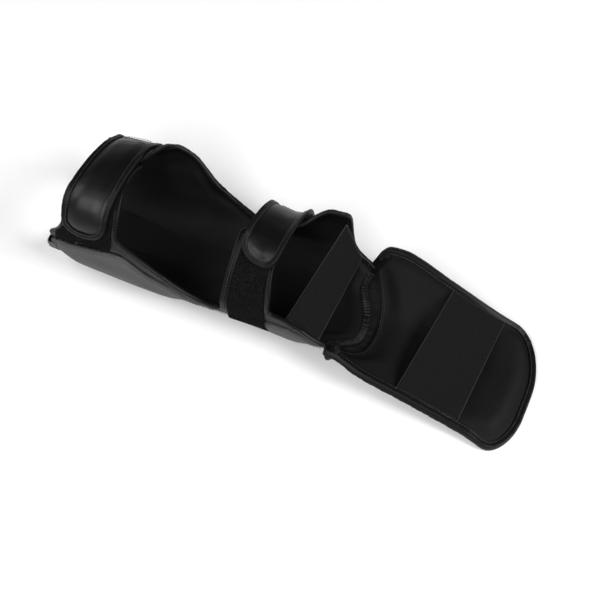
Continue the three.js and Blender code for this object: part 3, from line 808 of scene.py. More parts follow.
@dataclass(frozen=True)
class Finish:
    """The look of one cloth or leather.

    dark and light are its two tones, rim its tone along a band's woven edges, spread how far its roughness
    varies and depth how strong its relief is. along says that its pattern follows the piece's own pattern.
    """

    name: str
    slot: str
    pattern: Pattern
    dark: tuple[float, float, float]
    light: tuple[float, float, float]
    roughness: float
    spread: float = 0.12
    scale: float = 900.0
    depth: float = 0.25
    coat: float = 0.0
    specular: float = 0.5
    rim: tuple[float, float, float] | None = None
    along: bool = False

    def material(self) -> bpy.types.Material:
        """Gives the finish's material, built on its first use."""
        known = bpy.data.materials.get(self.name)
        return known if known is not None else self.build()

    def build(self) -> bpy.types.Material:
        """Builds the finish's node tree.

        Returns:
            The material.
        """
        material = bpy.data.materials.new(self.name)
        material.use_nodes = True
        tree = material.node_tree
        shader = tree.nodes["Principled BSDF"]
        shader.inputs["Coat Weight"].default_value = self.coat
        shader.inputs["Coat Roughness"].default_value = 0.28
        shader.inputs["Specular IOR Level"].default_value = self.specular
        place = tree.nodes.new("ShaderNodeTexCoord").outputs["UV" if self.along else "Object"]
        pattern = tree.nodes.new("ShaderNodeGroup")
        pattern.node_tree = Groups.get(self.pattern)
        pattern.inputs["Scale"].default_value = self.scale
        tree.links.new(place, pattern.inputs["Place"])
        colour = self.tones(tree, pattern.outputs["Tone"])
        tree.links.new(colour, shader.inputs["Base Color"])
        least = self.roughness - self.spread / 2
        rough = sum_node(tree, "MULTIPLY_ADD", pattern.outputs["Tone"], self.spread, least)
        tree.links.new(rough, shader.inputs["Roughness"])
        bump = tree.nodes.new("ShaderNodeBump")
        bump.inputs["Strength"].default_value = self.depth
        bump.inputs["Distance"].default_value = 0.0004
        tree.links.new(pattern.outputs["Height"], bump.inputs["Height"])
        tree.links.new(bump.outputs["Normal"], shader.inputs["Normal"])
        return material

    def tones(self, tree: bpy.types.NodeTree, tone: Socket) -> Socket:
        """Mixes the finish's colours.

        Args:
            tree: The material's tree.
            tone: The socket of the pattern's tone mask.

        Returns:
            The socket of the colour.
        """
        body = tree.nodes.new("ShaderNodeMix")
        body.data_type = "RGBA"
        body.inputs[6].default_value = (*self.dark, 1.0)
        body.inputs[7].default_value = (*self.light, 1.0)
        tree.links.new(tone, body.inputs["Factor"])
        if self.rim is None:
            return body.outputs[2]
        edge = tree.nodes.new("ShaderNodeAttribute")
        edge.attribute_name = "rim"
        near_edge = tree.nodes.new("ShaderNodeMapRange")
        near_edge.interpolation_type = "SMOOTHSTEP"
        near_edge.inputs["From Min"].default_value = 0.0003
        near_edge.inputs["From Max"].default_value = 0.0009
        near_edge.inputs["To Min"].default_value = 1.0
        near_edge.inputs["To Max"].default_value = 0.0
        tree.links.new(edge.outputs["Fac"], near_edge.inputs["Value"])
        rimmed = tree.nodes.new("ShaderNodeMix")
        rimmed.data_type = "RGBA"
        rimmed.inputs[7].default_value = (*self.rim, 1.0)
        tree.links.new(near_edge.outputs["Result"], rimmed.inputs["Factor"])
        tree.links.new(body.outputs[2], rimmed.inputs[6])
        return rimmed.outputs[2]


SHELL_GREY = Finish(
    "matte_shell", "shell_leather", Pattern.GRAIN, (0.0540, 0.0540, 0.0556), (0.0750, 0.0750, 0.0772),
    roughness=0.62, scale=1100.0, depth=0.3, specular=0.15,
)
WING_BLACK = Finish(
    "wing_gloss", "strap_leather", Pattern.GRAIN, (0.0030, 0.0030, 0.0031), (0.0060, 0.0060, 0.0062),
    roughness=0.46, scale=1000.0, depth=0.16, specular=0.14,
)
# The trough's lining is the same near-black lining leather as the instep's. Its tones are partly its own
# dark colour and partly painted shade: they are darker than the instep's to stand for the shade inside the
# trough.
LINING_BLACK_PAINTED_SHADE = Finish(
    "trough_lining_painted_shade", "lining_leather", Pattern.GRAIN, (0.0016, 0.0016, 0.0016), (0.0032, 0.0032, 0.0033),
    roughness=0.66, scale=1400.0, depth=0.12, specular=0.12,
)
INSTEP_BLACK = Finish(
    "instep_smooth", "lining_leather", Pattern.GRAIN, (0.0042, 0.0042, 0.0043), (0.0076, 0.0076, 0.0078),
    roughness=0.6, scale=1400.0, depth=0.12, specular=0.07,
)
TAPE_BLACK = Finish(
    "folded_tape", "edge_tape", Pattern.GRAIN, (0.0020, 0.0020, 0.0021), (0.0050, 0.0050, 0.0052),
    roughness=0.42, scale=1300.0, depth=0.2, specular=0.13,
)
STRAP_BLACK = Finish(
    "strap_gloss", "strap_leather", Pattern.GRAIN, (0.0020, 0.0020, 0.0021), (0.0040, 0.0040, 0.0041),
    roughness=0.38, scale=950.0, depth=0.14, coat=0.12, specular=0.2,
)
LOOP_BLACK = Finish(
    "loop_pile", "loop_fabric", Pattern.LOOPS, (0.0025, 0.0025, 0.0026), (0.0100, 0.0100, 0.0103),
    roughness=0.95, scale=1500.0, depth=0.9, specular=0.02,
)
ELASTIC_GREY = Finish(
    "elastic_weave", "woven_elastic", Pattern.WEAVE, (0.0054, 0.0054, 0.0056), (0.0136, 0.0136, 0.0140),
    roughness=0.8, scale=5200.0, depth=0.5, specular=0.0, rim=(0.04, 0.04, 0.0405), along=True,
)
THREAD_BLACK = Finish(
    "black_thread", "edge_tape", Pattern.THREAD, (0.0080, 0.0080, 0.0082), (0.0240, 0.0240, 0.0247),
    roughness=0.5, scale=9000.0, depth=0.3,
)
THREAD_GREY = Finish(
    "grey_thread", "shell_leather", Pattern.THREAD, (0.07, 0.07, 0.072), (0.16, 0.16, 0.163),
    roughness=0.5, scale=9000.0, depth=0.3,
)


def finish_piece(
    name: str,
    shape: bmesh.types.BMesh,
    finish: Finish,
    stands_for: tuple[str, ...] = (),
    crease: float = 60.0,
) -> bpy.types.Object:
    """Makes a finished piece of a shape that is already in metres.

    Args:
        name: The piece's name.
        shape: The shape, which is used up.
        finish: Its finish.
        stands_for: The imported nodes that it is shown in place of.
        crease: The angle in degrees past which an edge stays sharp.

    Returns:
        The piece's object.
    """
    mesh = bpy.data.meshes.new(name)
    shape.to_mesh(mesh)
    shape.free()
    mesh.polygons.foreach_set("use_smooth", [True] * len(mesh.polygons))
    mesh.set_sharp_from_angle(angle=math.radians(crease))
    mesh.materials.append(finish.material())
    piece = bpy.data.objects.new(name, mesh)
    bpy.context.scene.collection.objects.link(piece)
    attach(piece, "root")
    if stands_for:
        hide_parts(*stands_for)
    LOG.info("%s: %d faces", name, len(mesh.polygons))
    return piece


@dataclass
class FlatPattern:
    """A pattern that is cut flat, given its thickness and then bent over a form.

    unit is the millimetres for one step of v, close enough for distances and for the finish's own pattern.
    """

    unit: float = 1.0
    shape: bmesh.types.BMesh = field(default_factory=bmesh.new)

    def add_panel(self, columns: int, rows: int, place: Callable[[Array, Array], Array]) -> None:
        """Adds a grid panel.

        Args:
            columns: How many cells it has along u.
            rows: How many cells it has along v.
            place: Gives the flat u and v of the corners in a column and a row.
        """
        made = bmesh.ops.create_grid(self.shape, x_segments=columns, y_segments=rows, size=0.5)["verts"]
        corners = np.array([corner.co for corner in made])
        column = np.rint((corners[:, 0] + 0.5) * columns).astype(int)
        row = np.rint((corners[:, 1] + 0.5) * rows).astype(int)
        for corner, (u, v) in zip(made, place(column, row), strict=True):
            corner.co = (u, v, 0.0)

    def add_strip(self, width: float, length: float, columns: int, rows: int) -> None:
        """Adds a rectangular panel of a width and a length in millimetres.

        Args:
            width: Its size along u.
            length: Its size along v.
            columns: How many cells it has along u.
            rows: How many cells it has along v.
        """
        self.add_panel(
            columns, rows,
            lambda column, row: np.stack([column / columns * width, row / rows * length], axis=-1),
        )

    def sew(self) -> None:
        """Joins the panels where their edges meet."""
        bmesh.ops.remove_doubles(self.shape, verts=self.shape.verts, dist=0.01)
        bmesh.ops.recalc_face_normals(self.shape, faces=self.shape.faces)

    def outline(self) -> Array:
        """Walks round the pattern, with its cloth on the left, and gives the flat points.

        Returns:
            Their flat places.
        """
        edge = next(e for e in self.shape.edges if e.is_boundary)
        start, at = edge.verts
        walk = [start]
        while at is not start:
            walk.append(at)
            edge = next(e for e in at.link_edges if e.is_boundary and e is not edge)
            at = edge.other_vert(at)
        line = np.array([corner.co[:2] for corner in walk])
        after = np.roll(line, -1, axis=0)
        area = (line[:, 0] * after[:, 1] - after[:, 0] * line[:, 1]).sum()
        return line if area > 0 else line[::-1].copy()

    def wall(
        self,
        bend: RimRule,
        outer: RimRule,
        inner: RimRule,
    ) -> bmesh.types.BMesh:
        """Gives the flat pattern its thickness and bends it.

        Args:
            bend: Places u, v and a depth on the form.
            outer: Gives the outer face's depth for u, v and the distance to the pattern's edge.
            inner: Gives the inner face's depth likewise.

        Returns:
            The closed shape in metres, with a UV map and a "rim" attribute.
        """
        shape = self.shape
        outline = self.outline() * (1.0, self.unit)
        bmesh.ops.solidify(shape, geom=shape.faces[:], thickness=1.0)
        flat = np.array([corner.co for corner in shape.verts])
        u, v, inward = flat[:, 0], flat[:, 1], np.abs(flat[:, 2])
        rim = distance_to(flat[:, :2] * (1.0, self.unit), outline)
        depth = mix(outer(u, v, rim), inner(u, v, rim), inward)
        points = finish_points(bend(u, v, depth))
        rim_layer = shape.verts.layers.float.new("rim")
        for corner, point, edge in zip(shape.verts, points, rim, strict=True):
            corner.co = point
            corner[rim_layer] = edge * MM
        lay_pattern(shape, np.stack([u, v * self.unit], axis=-1))
        return shape


@dataclass
class EdgeTape:
    """Tape folded over a wall's edge and sewn through.

    line is the edge in flat pattern places with the cloth on its left. outer and inner give the depths of
    the wall's faces, unit the millimetres for a step of v.
    """

    line: Array
    bend: RimRule
    unit: Rule
    outer: Rule
    inner: Rule
    width: float = 3.8
    bead: float = 1.5
    flange: float = 0.9
    cloth: float = 0.8
    step: float = 2.4
    pucker: float = 0.1
    pucker_length: float = 3.6
    least_lift: float = 0.12
    seam_share: float = 0.72

    def __post_init__(self) -> None:
        """Spaces the line evenly and finds its directions."""
        scale = float(np.mean(self.unit(self.line[:, 0], self.line[:, 1])))
        even = spaced(self.line * (1.0, scale), self.step)
        self.line = softened(even, 2) / (1.0, scale)
        u, v = self.line[:, 0], self.line[:, 1]
        self.scale = self.unit(u, v)
        du, dv = np.gradient(u), np.gradient(v) * self.scale
        length = np.hypot(du, dv)
        self.turn_u, self.turn_v = -dv / length, du / length
        self.run = length_along(self.line * (1.0, scale))

    def at(self, inset: Array, share: float, over: Array | float) -> Array:
        """Places a line beside the edge.

        Args:
            inset: Millimetres into the cloth at each of the line's points.
            share: From -1 on the wall's outer face to 1 on its inner one.
            over: Millimetres beyond that face.

        Returns:
            The line's points in the pattern's millimetres.
        """
        u = self.line[:, 0] + self.turn_u * inset
        v = self.line[:, 1] + self.turn_v * inset / self.scale
        su, sv = (self.line[:, 0], self.line[:, 1]) if np.max(inset) < 0 else (u, v)
        low, high = self.outer(su, sv), self.inner(su, sv)
        middle, half = (low + high) / 2.0, (high - low) / 2.0
        return self.bend(u, v, middle + share * (half + over))

    def profile(self) -> list[tuple[float, float, float]]:
        """Gives the folded section as insets, shares of the half wall and heights over it.

        Returns:
            The section's corners, from the outer face over the fold to the inner one.
        """
        flat = [
            (self.width, 0.35), (self.width - 0.25, self.flange),
            (self.width * self.seam_share, self.flange * 0.9),
            (self.width * 0.5, self.flange * 1.15), (self.width * 0.25, self.bead * 0.95), (0.0, self.bead),
        ]
        outside = [(inset, -1.0, over) for inset, over in flat]
        turns = np.radians(np.linspace(-66.0, 66.0, 7))
        fold = [
            (-self.bead * math.cos(turn) ** 0.8, math.copysign(abs(math.sin(turn)) ** 0.75, turn), self.bead)
            for turn in turns
        ]
        inside = [(inset, 1.0, over) for inset, over in reversed(flat)]
        return outside + fold + inside

    def shape(self) -> bmesh.types.BMesh:
        """Builds the folded tape as a closed shape in metres.

        Returns:
            The shape, with a UV map along the tape.
        """
        profile, count = self.profile(), len(self.line)
        pucker = 1.0 + self.pucker * np.sin(self.run * 2.0 * math.pi / self.pucker_length)
        pucker = pucker + 0.12 * np.sin(self.run * 0.31)
        skins = []
        for thin in (0.0, self.cloth):
            rows = []
            for inset, share, over in profile:
                lift = np.maximum(over * pucker - thin, self.least_lift)
                tucked = inset + thin if inset < 0 else inset
                rows.append(self.at(np.full(count, tucked), share, lift))
            skins.append(np.stack(rows))
        shape = bmesh.new()
        bmesh.ops.create_grid(shape, x_segments=count - 1, y_segments=len(profile) - 1, size=0.5)
        bmesh.ops.solidify(shape, geom=shape.faces[:], thickness=1.0)
        flat = np.array([corner.co for corner in shape.verts])
        column = np.rint((flat[:, 0] + 0.5) * (count - 1)).astype(int)
        row = np.rint((flat[:, 1] + 0.5) * (len(profile) - 1)).astype(int)
        skin = np.rint(np.abs(flat[:, 2])).astype(int)
        points = finish_points(np.stack(skins)[skin, row, column])
        for corner, point in zip(shape.verts, points, strict=True):
            corner.co = point
        lay_pattern(shape, np.stack([self.run[column], row * 0.9], axis=-1))
        return shape

    def seam(self, skin: Skin, inset: float | None = None) -> Array:
        """Gives the line that its stitches follow on one face, in pattern millimetres."""
        place = self.width * self.seam_share if inset is None else inset
        return self.at(np.full(len(self.line), place), float(skin.value), self.flange * 0.95)


@dataclass
class Stitching:
    """Rows of stitches in one thread, each a small rounded bar."""

    shape: bmesh.types.BMesh = field(default_factory=bmesh.new)

    def bar(self, start: Array, end: Array, radius: float) -> None:
        """Sews one stitch.

        Args:
            start: Where it comes out, in pattern millimetres.
            end: Where it goes in.
            radius: The thread's radius.
        """
        line = finish_points(np.stack([start, end]))
        along = Vector(line[1] - line[0])
        size = along.length / 2.0 + radius * MM * 0.5
        turn = along.to_track_quat("Z", "Y").to_matrix().to_4x4()
        scale = Matrix.Diagonal((radius * MM, radius * MM, size, 1.0))
        place = Matrix.Translation((Vector(line[0]) + Vector(line[1])) / 2.0)
        bmesh.ops.create_uvsphere(
            self.shape, u_segments=5, v_segments=4, radius=1.0, matrix=place @ turn @ scale,
        )

    def row(self, line: Array, pitch: float = 3.8, length: float = 2.8, radius: float = 0.42) -> None:
        """Sews an even row of stitches along a line.

        Args:
            line: The line's points in pattern millimetres.
            pitch: From one stitch to the next.
            length: Each stitch's length.
            radius: The thread's radius.
        """
        run = length_along(line)
        for at in np.arange(pitch, run[-1] - pitch, pitch):
            ends = [
                np.array([np.interp(at + way, run, line[:, k]) for k in range(3)])
                for way in (-length / 2, length / 2)
            ]
            self.bar(*ends, radius)

    def zigzag(self, low: Array, high: Array, pitch: float = 1.5, radius: float = 0.34) -> None:
        """Sews to and fro between two lines.

        Args:
            low: One line's points.
            high: The other line's points.
            pitch: The step along the lines for each stitch.
            radius: The thread's radius.
        """
        first, second = spaced(low, pitch), spaced(high, pitch)
        count = min(len(first), len(second))
        for k in range(count - 1):
            ends = (first[k], second[k + 1]) if k % 2 == 0 else (second[k], first[k + 1])
            self.bar(*ends, radius)

    def finish(self, name: str, finish: Finish) -> bpy.types.Object:
        """Makes the rows one piece."""
        return finish_piece(name, self.shape, finish, crease=180.0)


def stations(marks: tuple[float, ...], step: float) -> Array:
    """Spaces places between marked ones.

    Args:
        marks: Places that are kept, in order.
        step: About how far apart the others are.

    Returns:
        Every place, in order.
    """
    places = [marks[0]]
    for start, end in zip(marks, marks[1:], strict=False):
        count = max(int(round((end - start) / step)), 1)
        places.extend(np.linspace(start, end, count + 1)[1:])
    return np.array(places)


def stretch(outline: Array, start: tuple[float, float], end: tuple[float, float]) -> Array:
    """Cuts the stretch of an outline from its point nearest start on to its point nearest end.

    Args:
        outline: The pattern's outline in flat places.
        start: Where it starts.
        end: Where it ends.

    Returns:
        The stretch's points.
    """
    first = int(np.argmin(np.linalg.norm(outline - np.array(start), axis=1)))
    last = int(np.argmin(np.linalg.norm(outline - np.array(end), axis=1)))
    turned = np.roll(outline, -first, axis=0)
    return turned[: (last - first) % len(outline) + 1]


def trough_panel(pattern: FlatPattern, places: Array, shares: Array) -> None:
    """Adds the panel that lines the trough.

    Args:
        pattern: The pattern that it goes into.
        places: Its stations along the shin.
        shares: Its rows on each side, up to 1 at the shell's top edge and 2 at the lining's low edge.
    """
    ways = np.concatenate([-shares[::-1], shares[1:]])

    def place(column: Array, row: Array) -> Array:
        """Gives the corners' flat places.

        Args:
            column: The corners' columns.
            row: The corners' rows.

        Returns:
            Their flat places.
        """
        x, way = places[column], ways[row]
        share, side = np.abs(way), np.where(way < 0, -1.0, 1.0)
        ratio = SHIN.shell_share(x, way)
        across = side * np.where(share > 1.0, mix(ratio, 1.0, share - 1.0), share * ratio)
        u = x + SHIN.knee_shift(x, across) + SHIN.hem_shift(x, across)
        low = SHIN.shell_angle_beside(u, way)
        edge = np.where(way < 0, SHIN.edge_angle(u, Side.NEAR), SHIN.edge_angle(u, Side.FAR))
        angle = np.where(share > 1.0, mix(low, edge, share - 1.0), share * low)
        return np.stack([u, angle], axis=-1)

    pattern.add_panel(len(places) - 1, len(ways) - 1, place)


def end_corner(x: float, side: Side, at_shell: bool = False) -> tuple[float, float]:
    """Gives the flat place of a corner of the lining, or of the shell, at its knee end or its hem.

    Args:
        x: The knee end or the hem.
        side: The side of the leg.
        at_shell: Whether it is the shell's corner.

    Returns:
        The corner's u and v.
    """
    ratio = 1.0
    if at_shell:
        ratio = float(SHIN.shell_angle(x, side) / SHIN.edge_angle(x, side))
    across = side.value * ratio
    u = x + float(SHIN.knee_shift(x, across) + SHIN.hem_shift(x, across))
    angle = SHIN.shell_angle(u, side) if at_shell else SHIN.edge_angle(u, side)
    return u, float(angle)


def swollen(piece: bpy.types.Object, guide: Callable[[Array], Array], voxel: float, cap: float) -> None:
    """Fills a padded piece by inflating it as cloth.

    Args:
        piece: The piece, whose mesh is replaced.
        guide: Gives how freely each point may move, from 0 to 1.
        voxel: The remesh size in metres.
        cap: The furthest that a point may move, in metres.
    """
    remesh = piece.modifiers.new("even_skin", "REMESH")
    remesh.mode = "VOXEL"
    remesh.voxel_size = voxel
    remesh.use_smooth_shade = True
    graph = bpy.context.evaluated_depsgraph_get()
    even = bpy.data.meshes.new_from_object(piece.evaluated_get(graph))
    piece.modifiers.clear()
    old, piece.data = piece.data, even
    start = mesh_points(even)
    cloth = piece.modifiers.new("filling", "CLOTH")
    cloth.settings.use_pressure = True
    cloth.settings.uniform_pressure_force = FILLING_PRESSURE
    cloth.settings.effector_weights.gravity = 0.0
    cloth.settings.quality = 5
    cloth.point_cache.frame_start, cloth.point_cache.frame_end = 1, FILLING_FRAMES
    for frame in range(1, FILLING_FRAMES + 1):
        bpy.context.scene.frame_set(frame)
    graph = bpy.context.evaluated_depsgraph_get()
    filled = bpy.data.meshes.new_from_object(piece.evaluated_get(graph))
    piece.modifiers.clear()
    moved = mesh_points(filled) - start
    bpy.context.scene.frame_set(1)
    reach = np.linalg.norm(moved, axis=1, keepdims=True)
    held = moved * np.minimum(1.0, cap / np.maximum(reach, 1e-9)) * guide(start)[:, None]
    points = start + held
    points[:, 2] = np.maximum(points[:, 2], FLOOR_GAP * MM)
    even.vertices.foreach_set("co", points.astype(np.float32).ravel())
    even.update()
    even.polygons.foreach_set("use_smooth", [True] * len(even.polygons))
    even.materials.clear()
    even.materials.append(old.materials[0])
    bpy.data.meshes.remove(filled)
    bpy.data.meshes.remove(old)
    softer = piece.modifiers.new("fine_skin", "SUBSURF")
    softer.levels = softer.render_levels = 1
    LOG.info("%s: filled, %d points", piece.name, len(points))


def mesh_points(mesh: bpy.types.Mesh) -> Array:
    """Gives a mesh's points.

    Args:
        mesh: The mesh.

    Returns:
        Its points, a row each.
    """
    flat = np.zeros(len(mesh.vertices) * 3, np.float32)
    mesh.vertices.foreach_get("co", flat)
    return flat.reshape(-1, 3).astype(float)


def rounded_rim(rim: Array, radius: float) -> Array:
    """Gives how far a face draws in beside a rounded edge of that radius."""
    return radius * corner_left(rim, radius)


@dataclass
class ShinShell:
    """The padded front of the shin with its grey leather shell, and the grey strip at the knee end."""

    cell: float = 4.5
    edge_radius: float = 2.2
    voxel: float = 0.004
    cap: float = 0.005
    stitch_inset: float = 4.0

    def build(self) -> None:
        """Makes the shell, its strip and its stitches."""
        pattern = FlatPattern(unit=1.2)
        places = stations((0.0, 3.0, 9.0, 346.0, 352.0, SHIN.pad_end), self.cell)
        shares = np.concatenate([np.linspace(0.0, 0.94, 30), [0.965, 0.985, 1.0]])
        trough_panel(pattern, places, shares)
        pattern.sew()
        outline = pattern.outline()
        shape = pattern.wall(SHIN.point, self.front, self.back)
        samples = [(corner.co.copy(), self.freedom(corner.co)) for corner in shape.verts]
        shell = finish_piece("shin_shell", shape, SHELL_GREY, ("shin_pad",), crease=75.0)
        self.fill(shell, samples)
        self.add_knee_strip(outline)
        self.add_stitches()

    def front(self, u: Array, v: Array, rim: Array) -> Array:
        """Gives the depth of the shell's outside."""
        return rounded_rim(rim, self.edge_radius) - SHIN.far_bulge(u, v)

    def back(self, u: Array, v: Array, rim: Array) -> Array:
        """Gives the depth of the side that the lining lies on."""
        return SHIN.pad_depth(u, v) - rounded_rim(rim, self.edge_radius) - SHIN.far_bulge(u, v)

    def freedom(self, place: Vector) -> float:
        """Gives how freely the shell swells at a place: not at its ends, nor where it rests.

        Args:
            place: The place in metres.

        Returns:
            A share from 0 to 1.
        """
        x = place.x / MM - MIDDLE[0]
        ends = float(smooth((x - 14.0) / 30.0) * smooth((SHIN.pad_end - 12.0 - x) / 30.0))
        return ends * float(smooth((place.z / MM - 2.0) / 14.0))

    def fill(self, shell: bpy.types.Object, samples: list[tuple[Vector, float]]) -> None:
        """Swells the outside of the shell, and keeps the side under the lining where it is.

        Args:
            shell: The shell.
            samples: Places of its first mesh, each with its freedom.
        """
        tree = KDTree(len(samples))
        for k, (place, _) in enumerate(samples):
            tree.insert(place, k)
        tree.balance()
        tops = {}
        for side in Side:
            x = np.linspace(0.0, SHIN.pad_end, 90)
            tops[side] = SHIN.point(x, SHIN.shell_angle(x, side), 3.0 + 0.0 * x)

        def guide(points: Array) -> Array:
            """Says how freely each point of the even skin may move.

            Args:
                points: The skin's points in metres.

            Returns:
                A share from 0 to 1 for each.
            """
            free = np.zeros(len(points))
            for k, point in enumerate(points):
                x = point[0] / MM - MIDDLE[0]
                _, near, _ = tree.find(point)
                local = (point / MM) - MIDDLE
                angle = math.degrees(math.atan2(local[1], SHIN_AXIS - local[2]))
                middle = SHIN.point(np.array([x]), np.array([angle]), np.array([3.5]))[0]
                half_way = math.hypot(middle[1], middle[2] - SHIN_AXIS)
                outside = np.hypot(local[1], local[2] - SHIN_AXIS) > half_way
                side = Side.NEAR if local[1] < 0 else Side.FAR
                top = np.min(np.linalg.norm(tops[side] - local, axis=1))
                free[k] = samples[near][1] * float(outside) * float(smooth((top - 6.0) / 12.0))
            return free

        swollen(shell, guide, self.voxel, self.cap)

    def add_knee_strip(self, outline: Array) -> None:
        """Folds the grey strip over the knee end of pad and lining.

        Args:
            outline: The shell's outline in flat places.
        """
        line = stretch(outline, end_corner(0.0, Side.FAR, True), end_corner(0.0, Side.NEAR, True))
        strip = EdgeTape(
            line, SHIN.point, SHIN.unit, lambda u, v: 0.0 * u,
            lambda u, v: SHIN.lining_inner(u, v) + 0.15, width=10.5, bead=1.5, flange=0.9,
        )
        finish_piece("knee_end_strip", strip.shape(), SHELL_GREY, ("knee_end_binding",))
        rows = Stitching()
        for skin in Skin:
            rows.row(strip.seam(skin), pitch=4.0, length=3.0, radius=0.36)
        rows.finish("knee_end_stitches", THREAD_GREY)

    def add_stitches(self) -> None:
        """Sews the shell's top edges down."""
        rows = Stitching()
        for side in Side:
            x = np.linspace(12.0, SHIN.pad_end - 6.0, 200)
            angle = SHIN.shell_angle(x, side)
            angle = angle - side.value * self.stitch_inset / SHIN.unit(x, angle)
            seam = SHIN.point(x, angle, -SHIN.far_bulge(x, angle) - 0.1)
            rows.row(seam, pitch=4.0, length=3.0, radius=0.36)
        rows.finish("shell_stitches", THREAD_GREY)


@dataclass(frozen=True)
class Wing:
    """One wing of the lining: where it grows from the low edge and how far it wraps."""

    side: Side
    start: float
    end: float
    tip_angle: float
    flare: float = 9.0
    flare_rise: float = 9.0
    toe_flare: float = 9.0
    toe_rise: float = 9.0
    tip_radius: float = 14.0
    toe_lean: float = 0.0
    knee_reach: float = 0.0
    cell: float = 4.5

    def add_to(self, pattern: FlatPattern, places: Array) -> None:
        """Adds the wing's panel, whose first row meets the trough's edge.

        Args:
            pattern: The lining's pattern.
            places: The trough's stations along the shin.
        """
        x = places[(places > self.start - 0.01) & (places < self.end + 0.01)]
        base = x + SHIN.knee_shift(x, self.side.value) + SHIN.hem_shift(x, self.side.value + 0.0 * x)
        middle = (self.start + self.end) / 2.0
        tip = self.side.value * self.tip_angle
        degrees = abs(tip - SHIN.edge_angle(middle, self.side))
        reach = float(degrees * SHIN.unit(middle, self.side.value * 120.0))
        heights = self.heights(reach)

        def place(column: Array, row: Array) -> Array:
            """Gives the corners' flat places.

            Args:
                column: The corners' columns.
                row: The corners' rows.

            Returns:
                Their flat places.
            """
            height = heights[row]
            turn = self.tip_radius * corner_left(reach - height, self.tip_radius)
            left = base[0] + self.flare * (1.0 - corner_left(height, self.flare_rise)) + turn
            lean = self.toe_lean * smooth((height / reach - 0.2) / 0.6)
            right = base[-1] - self.toe_flare * (1.0 - corner_left(height, self.toe_rise)) - turn - lean
            share = (base[column] - base[0]) / (base[-1] - base[0])
            u = mix(left, right, share)
            far = tip + self.side.value * self.knee_reach * (1.0 - smooth((share - 0.45) / 0.45))
            return np.stack([u, mix(SHIN.edge_angle(u, self.side), far, height / reach)], axis=-1)

        pattern.add_panel(len(x) - 1, len(heights) - 1, place)

    def heights(self, reach: float) -> Array:
        """Gives the wing's rows, close together at its fillets and round its tip.

        Args:
            reach: How far the wing reaches.

        Returns:
            The rows' distances from the low edge.
        """
        root = min(max(self.flare_rise, self.toe_rise), reach * 0.4)
        low = root * (1.0 - np.cos(np.radians(np.linspace(0.0, 90.0, 8))))
        straight = np.linspace(root, reach - self.tip_radius, max(int((reach - root) / self.cell), 3))
        tip = reach - self.tip_radius + self.tip_radius * np.sin(np.radians(np.linspace(0.0, 90.0, 8)))
        return np.concatenate([low, straight[1:], tip[1:]])


